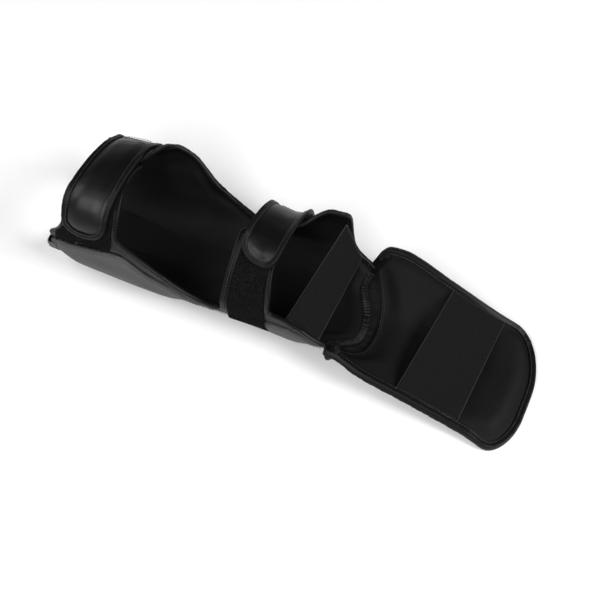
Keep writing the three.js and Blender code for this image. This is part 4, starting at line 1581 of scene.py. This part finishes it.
@dataclass
class Lining:
    """The black lining of the trough with its two pairs of wings, its edge tapes and its stitched hem."""

    cell: float = 4.2
    fold_depth: float = 0.9
    hem_width: float = 7.0
    wings: tuple[Wing, ...] = (
        Wing(Side.NEAR, 0.0, 113.0, 208.0, flare=23.0, flare_rise=22.0, toe_lean=10.0),
        Wing(Side.FAR, 0.0, 113.0, 163.0, flare=23.0, flare_rise=22.0),
        Wing(Side.NEAR, 220.0, 293.0, 192.0, toe_lean=9.0),
        Wing(Side.FAR, 230.0, 338.0, 128.0, toe_flare=14.0, toe_rise=40.0, knee_reach=19.0),
    )

    def build(self) -> None:
        """Makes the lining, its tapes and its hem."""
        places = stations((0.0, 113.0, 220.0, 230.0, 293.0, 338.0, SHIN.length), self.cell)
        pattern = FlatPattern(unit=1.15)
        shares = np.concatenate([np.linspace(0.0, 1.0, 34), np.linspace(1.0, 2.0, 6)[1:]])
        trough_panel(pattern, places, shares)
        for wing in self.wings:
            wing.add_to(pattern, places)
        pattern.sew()
        outline = pattern.outline()
        shape = pattern.wall(SHIN.point, self.outer, self.inner)
        # The lining takes the trough finish, whose tones carry painted shade for the hollow of the trough.
        lining = finish_piece("lining_and_wings", shape, LINING_BLACK_PAINTED_SHADE, ("shin_wrap",), crease=50.0)
        lining.data.materials.append(WING_BLACK.material())
        self.dress_outside(lining)
        self.add_tapes(outline)

    def folds(self, u: Array, v: Array, rim: Array) -> Array:
        """Gives the lining's soft folds, which fade out beside its edges."""
        soft = ripple(u, v * 1.15, 46.0, 3.7) + 0.5 * ripple(u * 0.6, v * 1.15, 21.0, 8.1)
        return self.fold_depth * soft * smooth((rim - 7.0) / 12.0)

    def outer(self, u: Array, v: Array, rim: Array) -> Array:
        """Gives the depth of the outside, with its folds where no pad backs it."""
        free = smooth((SHIN.above_shell(u, v) - 4.0) / 12.0)
        return SHIN.lining_outer(u, v) + self.folds(u, v, rim) * free * 0.7

    def inner(self, u: Array, v: Array, rim: Array) -> Array:
        """Gives the depth of the inside, with its folds and the roll beside the hem.

        Args:
            u: Flat places along the piece.
            v: Flat places across it.
            rim: Millimetres to the pattern's edge.

        Returns:
            Millimetres inwards.
        """
        across = np.clip(v / np.abs(SHIN.shell_angle_beside(u, v)), -1.0, 1.0)
        to_hem = SHIN.length + SHIN.hem_shift(SHIN.length + 0.0 * u, across) - u
        roll = 2.2 * np.exp(-(((to_hem - 16.0) / 7.0) ** 2)) * smooth((rim - 4.0) / 6.0)
        thin = 0.5 * smooth((rim - 6.0) / 6.0)
        return SHIN.lining_inner(u, v) + self.folds(u, v, rim) + roll + thin

    def dress_outside(self, lining: bpy.types.Object) -> None:
        """Gives the outside of the wings their glossy leather.

        Args:
            lining: The lining.
        """
        for face in lining.data.polygons:
            x, y, z = (np.array(face.center) / MM) - MIDDLE
            outward = Vector((0.0, y, z - SHIN_AXIS))
            if face.normal.dot(outward) > 0 and z > 20.0:
                face.material_index = 1

    def add_tapes(self, outline: Array) -> None:
        """Folds the tapes over the wings' and low edges, and sews the hem.

        Args:
            outline: The pattern's outline in flat places.
        """
        corners = {side: (end_corner(0.0, side), end_corner(SHIN.length, side)) for side in Side}
        near = stretch(outline, corners[Side.NEAR][0], corners[Side.NEAR][1])
        far = stretch(outline, corners[Side.FAR][1], corners[Side.FAR][0])
        hem = stretch(outline, corners[Side.NEAR][1], corners[Side.FAR][1])
        rows = Stitching()
        for name, node, line in (
            ("near_side_tape", "near_edge_binding", near), ("far_side_tape", "far_edge_binding", far),
        ):
            tape = EdgeTape(line, SHIN.point, SHIN.unit, SHIN.lining_outer, SHIN.lining_inner)
            finish_piece(name, tape.shape(), TAPE_BLACK, (node,))
            for skin in Skin:
                rows.row(tape.seam(skin))
        rows.finish("side_tape_stitches", THREAD_BLACK)
        self.add_hem(hem[2:-2])

    def add_hem(self, line: Array) -> None:
        """Folds the hem at the crease and sews it to and fro.

        Args:
            line: The hem's edge in flat places.
        """
        hem = EdgeTape(
            line, SHIN.point, SHIN.unit, SHIN.lining_outer, SHIN.lining_inner,
            width=self.hem_width, bead=1.6, flange=1.4, step=0.9, pucker=0.42,
        )
        finish_piece("crease_hem", hem.shape(), TAPE_BLACK, ("hem_binding",))
        rows = Stitching()
        rows.zigzag(hem.seam(Skin.INNER, 2.0), hem.seam(Skin.INNER, 5.6), pitch=1.7, radius=0.36)
        rows.row(hem.seam(Skin.INNER, 0.6), pitch=2.6, length=2.0)
        rows.finish("hem_stitches", THREAD_BLACK)


@dataclass
class LoopPatch:
    """A patch of fuzzy loop fabric sewn to the outside of a near wing."""

    name: str
    node: str
    start: float
    end: float
    low: float | None
    high: float
    low_spread: float = 0.0
    knee_spread: float = 0.0
    high_lean: float = 0.0
    thickness: float = 1.3
    seat: float = 0.8
    low_seat: float = 0.8
    overlap: float = 5.0
    columns: int = 34
    rows: int = 110

    def build(self) -> None:
        """Makes the patch."""
        pattern = FlatPattern(unit=1.2)
        pattern.add_panel(
            self.columns, self.rows,
            lambda column, row: self.place(column / float(self.columns), row / self.rows),
        )
        pattern.sew()
        shape = pattern.wall(SHIN.point, self.outer, self.inner)
        patch = finish_piece(self.name, shape, LOOP_BLACK, (self.node,), crease=80.0)

    def place(self, along: Array, share: Array) -> Array:
        """Gives the flat places of the patch's corners.

        Args:
            along: From its knee edge to the other.
            share: From its low edge to its high one.

        Returns:
            Their flat places.
        """
        low = smooth((0.3 - share) / 0.3)
        spread = (self.low_spread * along - self.knee_spread * (1.0 - along)) * low
        lean = self.high_lean * along * smooth((share - 0.3) / 0.6)
        x = mix(self.start, self.end, along) + spread - lean
        ragged = 0.5 * np.sin(along * 61.0) + 0.4 * np.sin(along * 23.0 + 1.0)
        return np.stack([x, mix(self.low_edge(x) + ragged * (share < 0.001), self.high, share)], axis=-1)

    def low_edge(self, x: Array) -> Array:
        """Gives the angle of the patch's low edge.

        Args:
            x: Places along the shin.

        Returns:
            Degrees.
        """
        if self.low is None:
            return SHIN.shell_angle(x, Side.NEAR) - self.overlap / SHIN.unit(x, 100.0 + 0.0 * x)
        return self.low + 0.0 * x

    def inner(self, u: Array, v: Array, rim: Array) -> Array:
        """Gives the depth of the side that is sewn on.

        Args:
            u: Flat places along the piece.
            v: Flat places across it.
            rim: Not used.

        Returns:
            Millimetres inwards.
        """
        above = (np.abs(v) - np.abs(SHIN.shell_angle(u, Side.NEAR))) * SHIN.unit(u, v)
        over = smooth((above - 2.0) / (SHIN.shell_setback - SHIN.tape_width - 2.0))
        return mix(-self.low_seat, SHIN.wing_depth - self.seat, over)

    def outer(self, u: Array, v: Array, rim: Array) -> Array:
        """Gives the depth of the fuzzy side, with its tufts.

        Args:
            u: Flat places along the piece.
            v: Flat places across it.
            rim: Millimetres to the pattern's edge.

        Returns:
            Millimetres inwards.
        """
        tufts = 0.22 * ripple(u, v * 1.2, 1.9, 5.0)
        pile = self.thickness * (0.35 + 0.65 * smooth(rim / 1.6))
        return self.inner(u, v, rim) - pile - tufts


@dataclass
class Strap:
    """A padded strap: sewn to a far wing, over the top and down the near side to a round end."""

    name: str
    node: str
    place: float
    width: float
    end_angle: float
    root_angle: float
    seat: float = 2.9
    root_seat: float = 1.3
    edge: float = 3.0
    puff: float = 1.7
    cell: float = 3.2
    end_power: float = 2.4
    seam_inset: float = 5.4
    tape_seam: float = 4.0
    cross_inset: float = 7.0

    def build(self) -> None:
        """Makes the strap, its edge tape and its stitches."""
        degree = float(SHIN.unit(np.array([self.place]), np.array([self.end_angle]))[0])
        half = self.width / 2.0
        turn = half * 0.9 / degree
        pattern = FlatPattern(unit=1.15)
        rounds = self.end_angle - turn * (1.0 - np.cos(np.radians(np.linspace(0.0, 90.0, 12))))
        count = int((rounds[-1] - self.root_angle) * pattern.unit / self.cell)
        angles = np.concatenate([rounds, np.linspace(rounds[-1], self.root_angle, count)[1:]])
        ways = np.sin(np.radians(np.linspace(-90.0, 90.0, 25)))

        def corner(column: Array, row: Array) -> Array:
            """Gives the corners' flat places.

            Args:
                column: The corners' columns.
                row: The corners' rows.

            Returns:
                Their flat places.
            """
            angle = angles[row]
            run = np.clip(1.0 - (self.end_angle - angle) / turn, 0.0, 1.0)
            reach = half * np.maximum((1.0 - run**self.end_power) ** (1.0 / self.end_power), 0.06)
            return np.stack([self.place + ways[column] * reach, angle], axis=-1)

        pattern.add_panel(len(ways) - 1, len(angles) - 1, corner)
        pattern.sew()
        outline = pattern.outline()
        shape = pattern.wall(SHIN.point, self.outer, self.inner)
        strap = finish_piece(self.name, shape, STRAP_BLACK, (self.node,), crease=70.0)
        line = stretch(outline, (self.place + half, self.root_angle), (self.place - half, self.root_angle))
        self.add_tape(line)

    def inner(self, u: Array, v: Array, rim: Array) -> Array:
        """Gives the depth of the side that faces the wing."""
        seat = mix(self.seat, self.root_seat, smooth((self.root_angle + 24.0 - v) / 20.0))
        return -seat - SHIN.far_lean(u, v)

    def outer(self, u: Array, v: Array, rim: Array) -> Array:
        """Gives the depth of the outside: low under the tape, drawn in at the seam, then full.

        Args:
            u: Flat places along the piece.
            v: Flat places across it.
            rim: Millimetres to the pattern's edge.

        Returns:
            Millimetres inwards.
        """
        full = self.puff * smooth((rim - 5.6) / 10.0)
        seam = 0.9 * np.exp(-(((rim - self.seam_inset) / 1.1) ** 2))
        soft = 0.6 * ripple(u * 0.35, v * 1.15, 19.0, 1.3) * smooth((rim - 6.0) / 8.0)
        return self.inner(u, v, rim) - self.edge - full + seam - soft

    def add_tape(self, line: Array) -> None:
        """Folds the tape round the strap and sews it.

        Args:
            line: The strap's open edge in flat places.
        """
        tape = EdgeTape(
            line, SHIN.point, SHIN.unit, lambda u, v: self.inner(u, v, u) - self.edge,
            lambda u, v: self.inner(u, v, u), width=4.8, bead=1.4, flange=0.9,
        )
        finish_piece(f"{self.name}_tape", tape.shape(), TAPE_BLACK, (f"{self.node}_binding",))
        rows = Stitching()
        for skin in Skin:
            rows.row(tape.seam(skin, self.tape_seam), pitch=3.4, length=2.6)
        self.add_root_stitches(rows)
        rows.finish(f"{self.name}_stitches", THREAD_BLACK)

    def add_root_stitches(self, rows: Stitching) -> None:
        """Sews the strap's root to the wing with a crossed square.

        Args:
            rows: The rows that they join.
        """
        half = self.width / 2.0 - self.cross_inset
        low, high = self.root_angle + 3.0, self.root_angle + 17.0
        corners = [(-half, low), (half, low), (half, high), (-half, high), (-half, low), (half, high)]
        for (x0, a0), (x1, a1) in zip(corners, corners[1:], strict=False):
            t = np.linspace(0.0, 1.0, 24)
            u, v = self.place + mix(x0, x1, t), mix(a0, a1, t)
            rim = half + self.cross_inset - np.abs(u - self.place)
            rows.row(SHIN.point(u, v, self.outer(u, v, rim) - 0.1), pitch=3.2, length=2.4)


@dataclass
class Elastic:
    """A woven elastic band that runs straight between its two sewn ends."""

    name: str
    node: str
    near_end: Callable[[Array], Array]
    far_end: Callable[[Array], Array]
    flat: tuple[float, float]
    rests_on: str = "lining_and_wings"
    thickness: float = 1.3
    cell: tuple[float, float] = (1.6, 2.6)
    seam_inset: float = 2.4
    floor: Callable[[Array], Array] | None = None

    def place(self, share: Array, way: Array) -> Array:
        """Places points of the band's middle.

        Args:
            share: From one edge of the band to the other.
            way: From its near end to its far one.

        Returns:
            The points in pattern millimetres.
        """
        start, end = self.near_end(share), self.far_end(share)
        points = mix(start, end, way[:, None])
        if self.floor is not None:
            points[:, 2] = np.maximum(points[:, 2], self.floor(points))
        return points

    def build(self) -> None:
        """Makes the band and the stitches at its ends."""
        width, length = self.flat
        pattern = FlatPattern(unit=1.0)
        pattern.add_strip(width, length, int(width / self.cell[0]), int(length / self.cell[1]))
        pattern.sew()
        half = self.thickness / 2.0

        def lip(rim: Array) -> Array:
            """Gives the half thickness, with a corded edge."""
            return half * (0.55 + 0.45 * smooth(rim / 0.8)) + 0.14 * np.exp(-(((rim - 1.2) / 0.7) ** 2))

        shape = pattern.wall(self.bend, lambda u, v, rim: -lip(rim), lambda u, v, rim: lip(rim))
        band = finish_piece(self.name, shape, ELASTIC_GREY, (self.node,), crease=80.0)
        self.add_stitches()

    def bend(self, u: Array, v: Array, depth: Array) -> Array:
        """Bends the flat band to its place.

        Args:
            u: Flat places along the piece.
            v: Flat places across it.
            depth: Millimetres beyond the band's middle.

        Returns:
            The points.
        """
        width, length = self.flat
        share, way = u / width, v / length
        along = self.place(share, np.clip(way + 0.01, 0, 1)) - self.place(share, np.clip(way - 0.01, 0, 1))
        across = self.place(np.clip(share + 0.02, 0, 1), way) - self.place(np.clip(share - 0.02, 0, 1), way)
        normal = np.cross(across, along)
        normal /= np.linalg.norm(normal, axis=1, keepdims=True)
        return self.place(share, way) + normal * depth[:, None]

    def add_stitches(self) -> None:
        """Sews both ends down."""
        width, length = self.flat
        rows = Stitching()
        for v in (self.seam_inset, length - self.seam_inset):
            u = np.linspace(1.5, width - 1.5, 30)
            seam = self.bend(u, v + 0.0 * u, self.thickness / 2.0 + 0.0 * u)
            rows.row(seam, pitch=3.0, length=2.2, radius=0.24)
        rows.finish(f"{self.name}_stitches", THREAD_BLACK)


@dataclass(frozen=True)
class HeelEnds:
    """Where the heel elastic is sewn: its near end beside the tape, its far end on the far wing."""

    near_place: float = 323.5
    near_width: float = 40.0
    near_inset: float = 4.6
    near_lift: float = 2.0
    far_place: float = 334.0
    far_width: float = 27.0
    far_angles: tuple[float, float] = (112.0, 86.0)
    far_lift: float = 3.2

    def near(self, share: Array) -> Array:
        """Places the near end's points.

        Args:
            share: From one edge of the band to the other.

        Returns:
            The points.
        """
        x = self.near_place + (share - 0.5) * self.near_width
        edge = SHIN.edge_angle(x, Side.NEAR)
        angle = edge + self.near_inset / SHIN.unit(x, edge)
        return SHIN.point(x, angle, SHIN.lining_inner(x, angle) + self.near_lift)

    def far(self, share: Array) -> Array:
        """Places the far end's points.

        Args:
            share: From one edge of the band to the other.

        Returns:
            The points.
        """
        x = self.far_place + (share - 0.5) * self.far_width
        angle = mix(*self.far_angles, share)
        return SHIN.point(x, angle, SHIN.lining_inner(x, angle) + self.far_lift)


def instep_end(side: Side, place: float, width: float) -> Callable[[Array], Array]:
    """Gives the rule that places an end of the instep elastic under the tape.

    Args:
        side: The side of the foot.
        place: Its middle, from the crease.
        width: Its width.

    Returns:
        The rule for the end.
    """

    def rule(share: Array) -> Array:
        """Places the end's points.

        Args:
            share: From one edge of the band to the other.

        Returns:
            The points.
        """
        x = INSTEP.start + place + (share - 0.5) * width
        edge = side.value + 0.0 * x
        across = INSTEP.width(x, edge) * np.hypot(1.0, INSTEP.steepness(x, edge))
        t = side.value * (1.0 - INSTEP_END_INSET / across)
        return INSTEP.point(x, t, INSTEP.lining_inner(x, t) + 1.0)

    return rule


def instep_floor(points: Array) -> Array:
    """Gives the height that the instep elastic lies at where the lining holds it up."""
    t = points[:, 1] / INSTEP.width(points[:, 0], points[:, 1])
    return INSTEP.point(points[:, 0], t, INSTEP.lining_inner(points[:, 0], t) + 1.7)[:, 2]


@dataclass
class Gusset:
    """The crescent of soft leather that joins the shin to the instep at the crease."""

    first: float = -0.9
    last: float = 0.86
    wall: float = 1.4
    sag: float = 3.0
    length: float = 120.0
    width: float = 34.0
    fullness: float = 1.6
    reaches: tuple[float, ...] = (0.0, 0.14, 0.33, 0.52, 0.7, 0.86, 1.0)

    def place(self, share: Array, t: Array) -> Array:
        """Places points of the gusset, from under the hem to the plate's edge.

        Args:
            share: From the hem to the plate.
            t: From -1, near, to 1, far.

        Returns:
            The points.
        """
        last = len(self.reaches) - 1.0
        reach = np.interp(np.abs(t) * last, np.arange(last + 1.0), np.array(self.reaches))
        x = SHIN.pad_end + 0.0 * t
        u = x + SHIN.hem_shift(x, np.sign(t) * reach * SHIN.shell_share(x, t))
        angle = reach * SHIN.shell_angle_beside(u, t)
        upper = SHIN.point(u + 1.1, angle, SHIN.pad_depth(x, angle) - 1.6)
        seam = INSTEP.seam_x(t)
        lower = INSTEP.point(seam - 0.7, t, INSTEP.pad_depth(seam, t) * 0.55)
        points = mix(upper, lower, share[:, None])
        points[:, 2] -= self.sag * np.sin(math.pi * share)
        return points

    def build(self) -> None:
        """Makes the gusset with its gathers."""
        pattern = FlatPattern(unit=1.0)
        pattern.add_strip(self.width, self.length, 16, 60)
        pattern.sew()
        shape = pattern.wall(
            self.bend, lambda u, v, rim: -self.gathers(u, v) - self.wall / 2.0,
            lambda u, v, rim: self.wall / 2.0 - self.gathers(u, v),
        )
        gusset = finish_piece("crease_gusset", shape, INSTEP_BLACK, ("ankle_gusset",), crease=70.0)

    def gathers(self, u: Array, v: Array) -> Array:
        """Gives the small folds that run across the crescent."""
        fade = np.sin(math.pi * np.clip(u / self.width, 0.0, 1.0))
        return 0.7 * fade * (np.sin(v * 0.55 + np.sin(v * 0.13) * 2.0) + 0.5 * ripple(u, v, 9.0, 2.2))

    def bend(self, u: Array, v: Array, depth: Array) -> Array:
        """Bends the flat gusset to its place.

        Args:
            u: Flat places along the piece.
            v: Flat places across it.
            depth: Millimetres beyond its middle.

        Returns:
            The points.
        """
        share, t = u / self.width, mix(self.first, self.last, v / self.length)
        along = self.place(share, t + 0.01) - self.place(share, t - 0.01)
        across = self.place(share + 0.02, t) - self.place(share - 0.02, t)
        normal = np.cross(across, along)
        normal /= np.linalg.norm(normal, axis=1, keepdims=True)
        return self.place(share, t) - normal * depth[:, None]


@dataclass
class InstepPlate:
    """The padded plate over the foot: its grey shell, its smooth lining and the tape round it."""

    voxel: float = 0.003
    cap: float = 0.003
    crown: float = 2.4
    toe_crown: float = 3.6
    toe_place: tuple[float, float] = (148.0, 14.0)
    band_place: float = 113.0
    band_reach: float = 70.0
    lining_gap: float = 0.3
    tape_gap: float = 0.15

    def build(self) -> None:
        """Makes the plate's pieces."""
        outline = self.add_shell()
        self.add_lining()
        self.add_tape(outline)

    def pattern(self) -> FlatPattern:
        """Cuts the plate's pattern, with v in millimetres from its middle.

        Returns:
            The pattern.
        """
        pattern = FlatPattern(unit=1.0)
        ways = np.sin(np.radians(np.linspace(-90.0, 90.0, 49)))
        shares = np.concatenate([[0.0, 0.01, 0.025], np.linspace(0.05, 0.96, 44), [0.975, 0.99, 1.0]])

        def corner(column: Array, row: Array) -> Array:
            """Gives the corners' flat places.

            Args:
                column: The corners' columns.
                row: The corners' rows.

            Returns:
                Their flat places.
            """
            t = ways[row]
            start, end = INSTEP.run(t)
            return np.stack([mix(start, end, shares[column]), t * INSTEP.half_width], axis=-1)

        pattern.add_panel(len(shares) - 1, len(ways) - 1, corner)
        pattern.sew()
        return pattern

    def bend(self, u: Array, v: Array, depth: Array) -> Array:
        """Bends the flat plate to its form."""
        return INSTEP.point(u, v / INSTEP.half_width, depth)

    def unit(self, u: Array, v: Array) -> Array:
        """Gives the plate's real length across for a millimetre of v."""
        slope = INSTEP.steepness(u, v / INSTEP.half_width)
        return INSTEP.width(u, v) / INSTEP.half_width * np.hypot(1.0, slope)

    def pad_top(self, u: Array, v: Array) -> Array:
        """Gives the height of the pad's upper face."""
        return INSTEP.pad_depth(u, v / INSTEP.half_width)

    def lining_low(self, u: Array, v: Array, rim: Array) -> Array:
        """Gives the height of the lining's lower face."""
        return self.pad_top(u, v) + self.lining_gap

    def lining_high(self, u: Array, v: Array, rim: Array) -> Array:
        """Gives the height of the lining's upper face, padded between its edges and the elastic.

        Args:
            u: Flat places along the piece.
            v: Flat places across it.
            rim: Millimetres to the pattern's edge.

        Returns:
            Millimetres upwards.
        """
        at = u - INSTEP.start
        free = 1.0 - smooth((self.band_reach - np.abs(at - self.band_place)) / 26.0)
        toe = eased(at, self.toe_place)
        full = self.crown * smooth((rim - 5.0) / 20.0) * free
        full = full + self.toe_crown * smooth((rim - 6.5) / 13.0) * toe
        drawn = 0.9 * np.exp(-(((rim - 6.4) / 2.2) ** 2))
        soft = 0.5 * ripple(u, v, 34.0, 6.4) * smooth((rim - 8.0) / 12.0) * free
        return self.pad_top(u, v) + self.lining_gap + INSTEP.lining_wall + full - drawn + soft

    def add_shell(self) -> Array:
        """Makes the padded shell and gives the outline of its pattern.

        Returns:
            The outline in flat places.
        """
        pattern = self.pattern()
        outline = pattern.outline()
        shape = pattern.wall(self.bend, lambda u, v, rim: 0.0 * u, lambda u, v, rim: self.pad_top(u, v))
        shell = finish_piece("instep_shell", shape, SHELL_GREY, ("instep_pad",), crease=75.0)
        swollen(shell, self.freedom, self.voxel, self.cap)
        return outline

    def freedom(self, points: Array) -> Array:
        """Gives how freely each point of the shell's skin swells: only its outside, between its edges.

        Args:
            points: The skin's points in metres.

        Returns:
            A share from 0 to 1 for each.
        """
        local = points / MM - MIDDLE
        t = np.clip(local[:, 1] / INSTEP.width(local[:, 0], local[:, 1]), -1.0, 1.0)
        low = INSTEP.point(local[:, 0], t, INSTEP.pad_depth(local[:, 0], t) * 0.35)[:, 2]
        outside = (local[:, 2] < low).astype(float)
        start, end = INSTEP.run(t)
        ends = smooth((local[:, 0] - start - 8.0) / 14.0) * smooth((end - 10.0 - local[:, 0]) / 14.0)
        sides = smooth((1.0 - np.abs(t)) * INSTEP.half_width / 14.0 - 0.5)
        return outside * ends * sides * smooth((local[:, 2] - 1.2) / 6.0)

    def add_lining(self) -> None:
        """Makes the smooth lining."""
        shape = self.pattern().wall(self.bend, self.lining_low, self.lining_high)
        lining = finish_piece("instep_inside", shape, INSTEP_BLACK, ("instep_lining",), crease=60.0)

    def add_tape(self, outline: Array) -> None:
        """Folds the tape round the plate and sews the plate's open edge at the crease.

        Args:
            outline: The pattern's outline in flat places.
        """
        t_start, t_end = -0.9 * INSTEP.half_width, 0.9 * INSTEP.half_width
        near = (float(INSTEP.run(np.array([-0.9]))[0][0]), t_start)
        far = (float(INSTEP.run(np.array([0.9]))[0][0]), t_end)
        line = stretch(outline, near, far)
        tape = EdgeTape(
            line, self.bend, self.unit, lambda u, v: 0.0 * u,
            lambda u, v: self.pad_top(u, v) + self.lining_gap + INSTEP.lining_wall + self.tape_gap,
            width=5.2, flange=1.6, bead=1.9,
        )
        finish_piece("instep_tape", tape.shape(), TAPE_BLACK, ("instep_binding",))
        rows = Stitching()
        for skin in Skin:
            rows.row(tape.seam(skin, 4.2), pitch=3.6, length=2.7)
        t = np.linspace(-0.86, 0.86, 160)
        x = INSTEP.seam_x(t) + 2.5
        top = self.lining_high(x, t * INSTEP.half_width, 2.5 + 0.0 * t)
        rows.row(INSTEP.point(x, t, top + 0.05), pitch=3.2, length=2.4, radius=0.22)
        rows.finish("instep_stitches", THREAD_BLACK)


@dataclass
class CornerTab:
    """A small folded tab that ties the shin's edge to the plate's at one end of the crease."""

    name: str
    side: Side
    length: float = 24.0
    width: float = 13.0
    thickness: float = 6.0
    crossings: int = 17

    def ends(self) -> tuple[Array, Array]:
        """Gives the two places that the tab ties together.

        Returns:
            The shin's place and the plate's.
        """
        x = np.array([SHIN.length - 6.0])
        edge = SHIN.edge_angle(x, self.side)
        shin = SHIN.point(x, edge - self.side.value * 3.0, SHIN.lining_outer(x, edge))[0]
        t = np.array([self.side.value * 0.94])
        start = INSTEP.run(t)[0] + 4.0
        plate = INSTEP.point(start, t, INSTEP.lining_outer(start, t))[0]
        return shin, plate

    def build(self) -> None:
        """Makes the tab and its crossed stitches."""
        shin, plate = self.ends()
        middle, along = (shin + plate) / 2.0, Vector(plate - shin)
        size = max(along.length + 8.0, self.length)
        turn = along.to_track_quat("X", "Z").to_matrix().to_4x4()
        centre = Vector(((middle + MIDDLE) * MM).tolist())
        place = Matrix.Translation(centre) @ turn
        shape = bmesh.new()
        scale = Matrix.Diagonal((size * MM, self.width * MM, self.thickness * MM, 1.0))
        bmesh.ops.create_cube(shape, size=1.0, matrix=place @ scale)
        bmesh.ops.subdivide_edges(shape, edges=shape.edges[:], cuts=7, use_grid_fill=True)
        for _ in range(6):
            bmesh.ops.smooth_vert(
                shape, verts=shape.verts, factor=0.5, use_axis_x=True, use_axis_y=True, use_axis_z=True,
            )
        for corner in shape.verts:
            lump = noise.noise(corner.co * 260.0) * 0.0006
            corner.co += Vector((lump, lump * 0.6, lump * 1.1))
        finish_piece(self.name, shape, TAPE_BLACK)
        self.add_stitches(place, size)

    def add_stitches(self, place: Matrix, size: float) -> None:
        """Sews to and fro across the tab.

        Args:
            place: The tab's place and turn.
            size: Its length in millimetres.
        """
        rows = Stitching()
        for k in range(self.crossings):
            x = mix(-size * 0.36, size * 0.36, k / (self.crossings - 1))
            lean = 1.6 * math.sin(k * 2.4)
            ends = []
            for way in (-0.34, 0.34):
                local = Vector((x + lean * way, self.width * way, self.thickness * 0.44)) * MM
                ends.append(np.array(place @ local) / MM - MIDDLE)
            rows.bar(ends[0], ends[1], 0.4)
        rows.finish(f"{self.name}_stitches", THREAD_BLACK)


@dataclass
class Studio:
    """The floor, the soft lights and the camera at the photograph's angle."""

    target: tuple[float, float, float] = (0.0127, -0.0093, 0.0400)
    distance: float = 1.2003
    elevation: float = 60.1
    turn: float = 24.7
    lens: float = 63.62
    floor_side: float = 9.0
    horizon: float = 0.37
    overhead: float = 0.0
    lights: tuple[tuple[str, tuple[float, float, float], float, float], ...] = (
        ("left_light", (-1.7, -0.5, 1.7), 1.5, 24.0),
        ("front_light", (-0.1, -1.6, 1.85), 1.4, 38.0),
        ("right_light", (1.9, 0.0, 1.6), 1.2, 64.0),
    )

    def build(self) -> None:
        """Makes the floor, the lights, the surroundings and the camera."""
        self.add_floor()
        for name, place, size, power in self.lights:
            self.add_light(name, place, size, power)
        self.add_world()
        self.add_camera()

    def add_floor(self) -> None:
        """Lays the plain pale floor."""
        mesh = bpy.data.meshes.new("floor")
        shape = bmesh.new()
        bmesh.ops.create_grid(shape, x_segments=1, y_segments=1, size=self.floor_side / 2.0)
        shape.to_mesh(mesh)
        shape.free()
        material = bpy.data.materials.new("pale_floor")
        material.use_nodes = True
        shader = material.node_tree.nodes["Principled BSDF"]
        shader.inputs["Base Color"].default_value = (0.9, 0.9, 0.9, 1.0)
        shader.inputs["Roughness"].default_value = 0.7
        mesh.materials.append(material)
        floor = bpy.data.objects.new("floor", mesh)
        bpy.context.scene.collection.objects.link(floor)

    def add_light(self, name: str, place: tuple[float, float, float], size: float, power: float) -> None:
        """Hangs one soft box that faces the guard.

        Args:
            name: Its name.
            place: Where it hangs, in metres.
            size: Its side in metres.
            power: Its power in watts.
        """
        data = bpy.data.lights.new(name, "AREA")
        data.shape = "SQUARE"
        data.size = size
        data.energy = power
        light = bpy.data.objects.new(name, data)
        light.location = place
        light.rotation_euler = (-Vector(place)).to_track_quat("-Z", "Y").to_euler()
        bpy.context.scene.collection.objects.link(light)

    def add_world(self) -> None:
        """Sets the pale surroundings."""
        world = bpy.data.worlds.new("surroundings")
        world.use_nodes = True
        tree = world.node_tree
        background = tree.nodes["Background"]
        split = tree.nodes.new("ShaderNodeSeparateXYZ")
        tree.links.new(tree.nodes.new("ShaderNodeTexCoord").outputs["Generated"], split.inputs[0])
        fade = tree.nodes.new("ShaderNodeMapRange")
        fade.interpolation_type = "SMOOTHSTEP"
        fade.inputs["From Min"].default_value = 0.1
        fade.inputs["From Max"].default_value = 0.75
        fade.inputs["To Min"].default_value = self.horizon
        fade.inputs["To Max"].default_value = self.overhead
        tree.links.new(split.outputs["Z"], fade.inputs["Value"])
        tree.links.new(fade.outputs["Result"], background.inputs["Strength"])
        background.inputs["Color"].default_value = (1.0, 1.0, 1.0, 1.0)
        bpy.context.scene.world = world
        bpy.context.scene.view_settings.view_transform = "Standard"

    def add_camera(self) -> None:
        """Points the camera at the guard from above its near side."""
        data = bpy.data.cameras.new("camera")
        data.lens = self.lens
        data.clip_end = 30.0
        camera = bpy.data.objects.new("camera", data)
        rise, turn = math.radians(self.elevation), math.radians(self.turn)
        back = Vector((math.sin(turn) * math.cos(rise), -math.cos(turn) * math.cos(rise), math.sin(rise)))
        camera.location = Vector(self.target) + back * self.distance
        camera.rotation_euler = (-back).to_track_quat("-Z", "Y").to_euler()
        bpy.context.scene.collection.objects.link(camera)
        bpy.context.scene.camera = camera


def main() -> None:
    """Builds the guard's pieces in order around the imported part, then the studio."""
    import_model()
    ShinShell().build()
    Lining().build()
    LoopPatch(
        "calf_loops", "calf_loop_patch", start=44.0, end=99.0, low=None, high=-172.0, knee_spread=20.0,
        low_seat=2.4,
    ).build()
    LoopPatch(
        "ankle_loops", "ankle_loop_patch", start=235.5, end=281.0, low=-48.0, high=-168.0, low_spread=8.0,
        high_lean=8.0,
    ).build()
    Strap("upper_strap", "calf_strap", place=70.0, width=50.0, end_angle=251.0, root_angle=128.0).build()
    Strap(
        "lower_strap", "ankle_strap", place=258.0, width=44.0, end_angle=209.0, root_angle=106.0, puff=1.2,
    ).build()
    heel = HeelEnds()
    Elastic("heel_band", "heel_elastic", heel.near, heel.far, flat=(40.0, 131.0)).build()
    Gusset().build()
    InstepPlate().build()
    Elastic(
        "instep_band", "instep_elastic",
        instep_end(Side.NEAR, place=108.0, width=74.0), instep_end(Side.FAR, place=119.0, width=65.0),
        flat=(72.0, 141.0), rests_on="instep_inside", floor=instep_floor,
    ).build()
    for name, side in (("near_corner_tab", Side.NEAR), ("far_corner_tab", Side.FAR)):
        CornerTab(name, side).build()
    Studio().build()


if __name__ == "__main__":
    main()
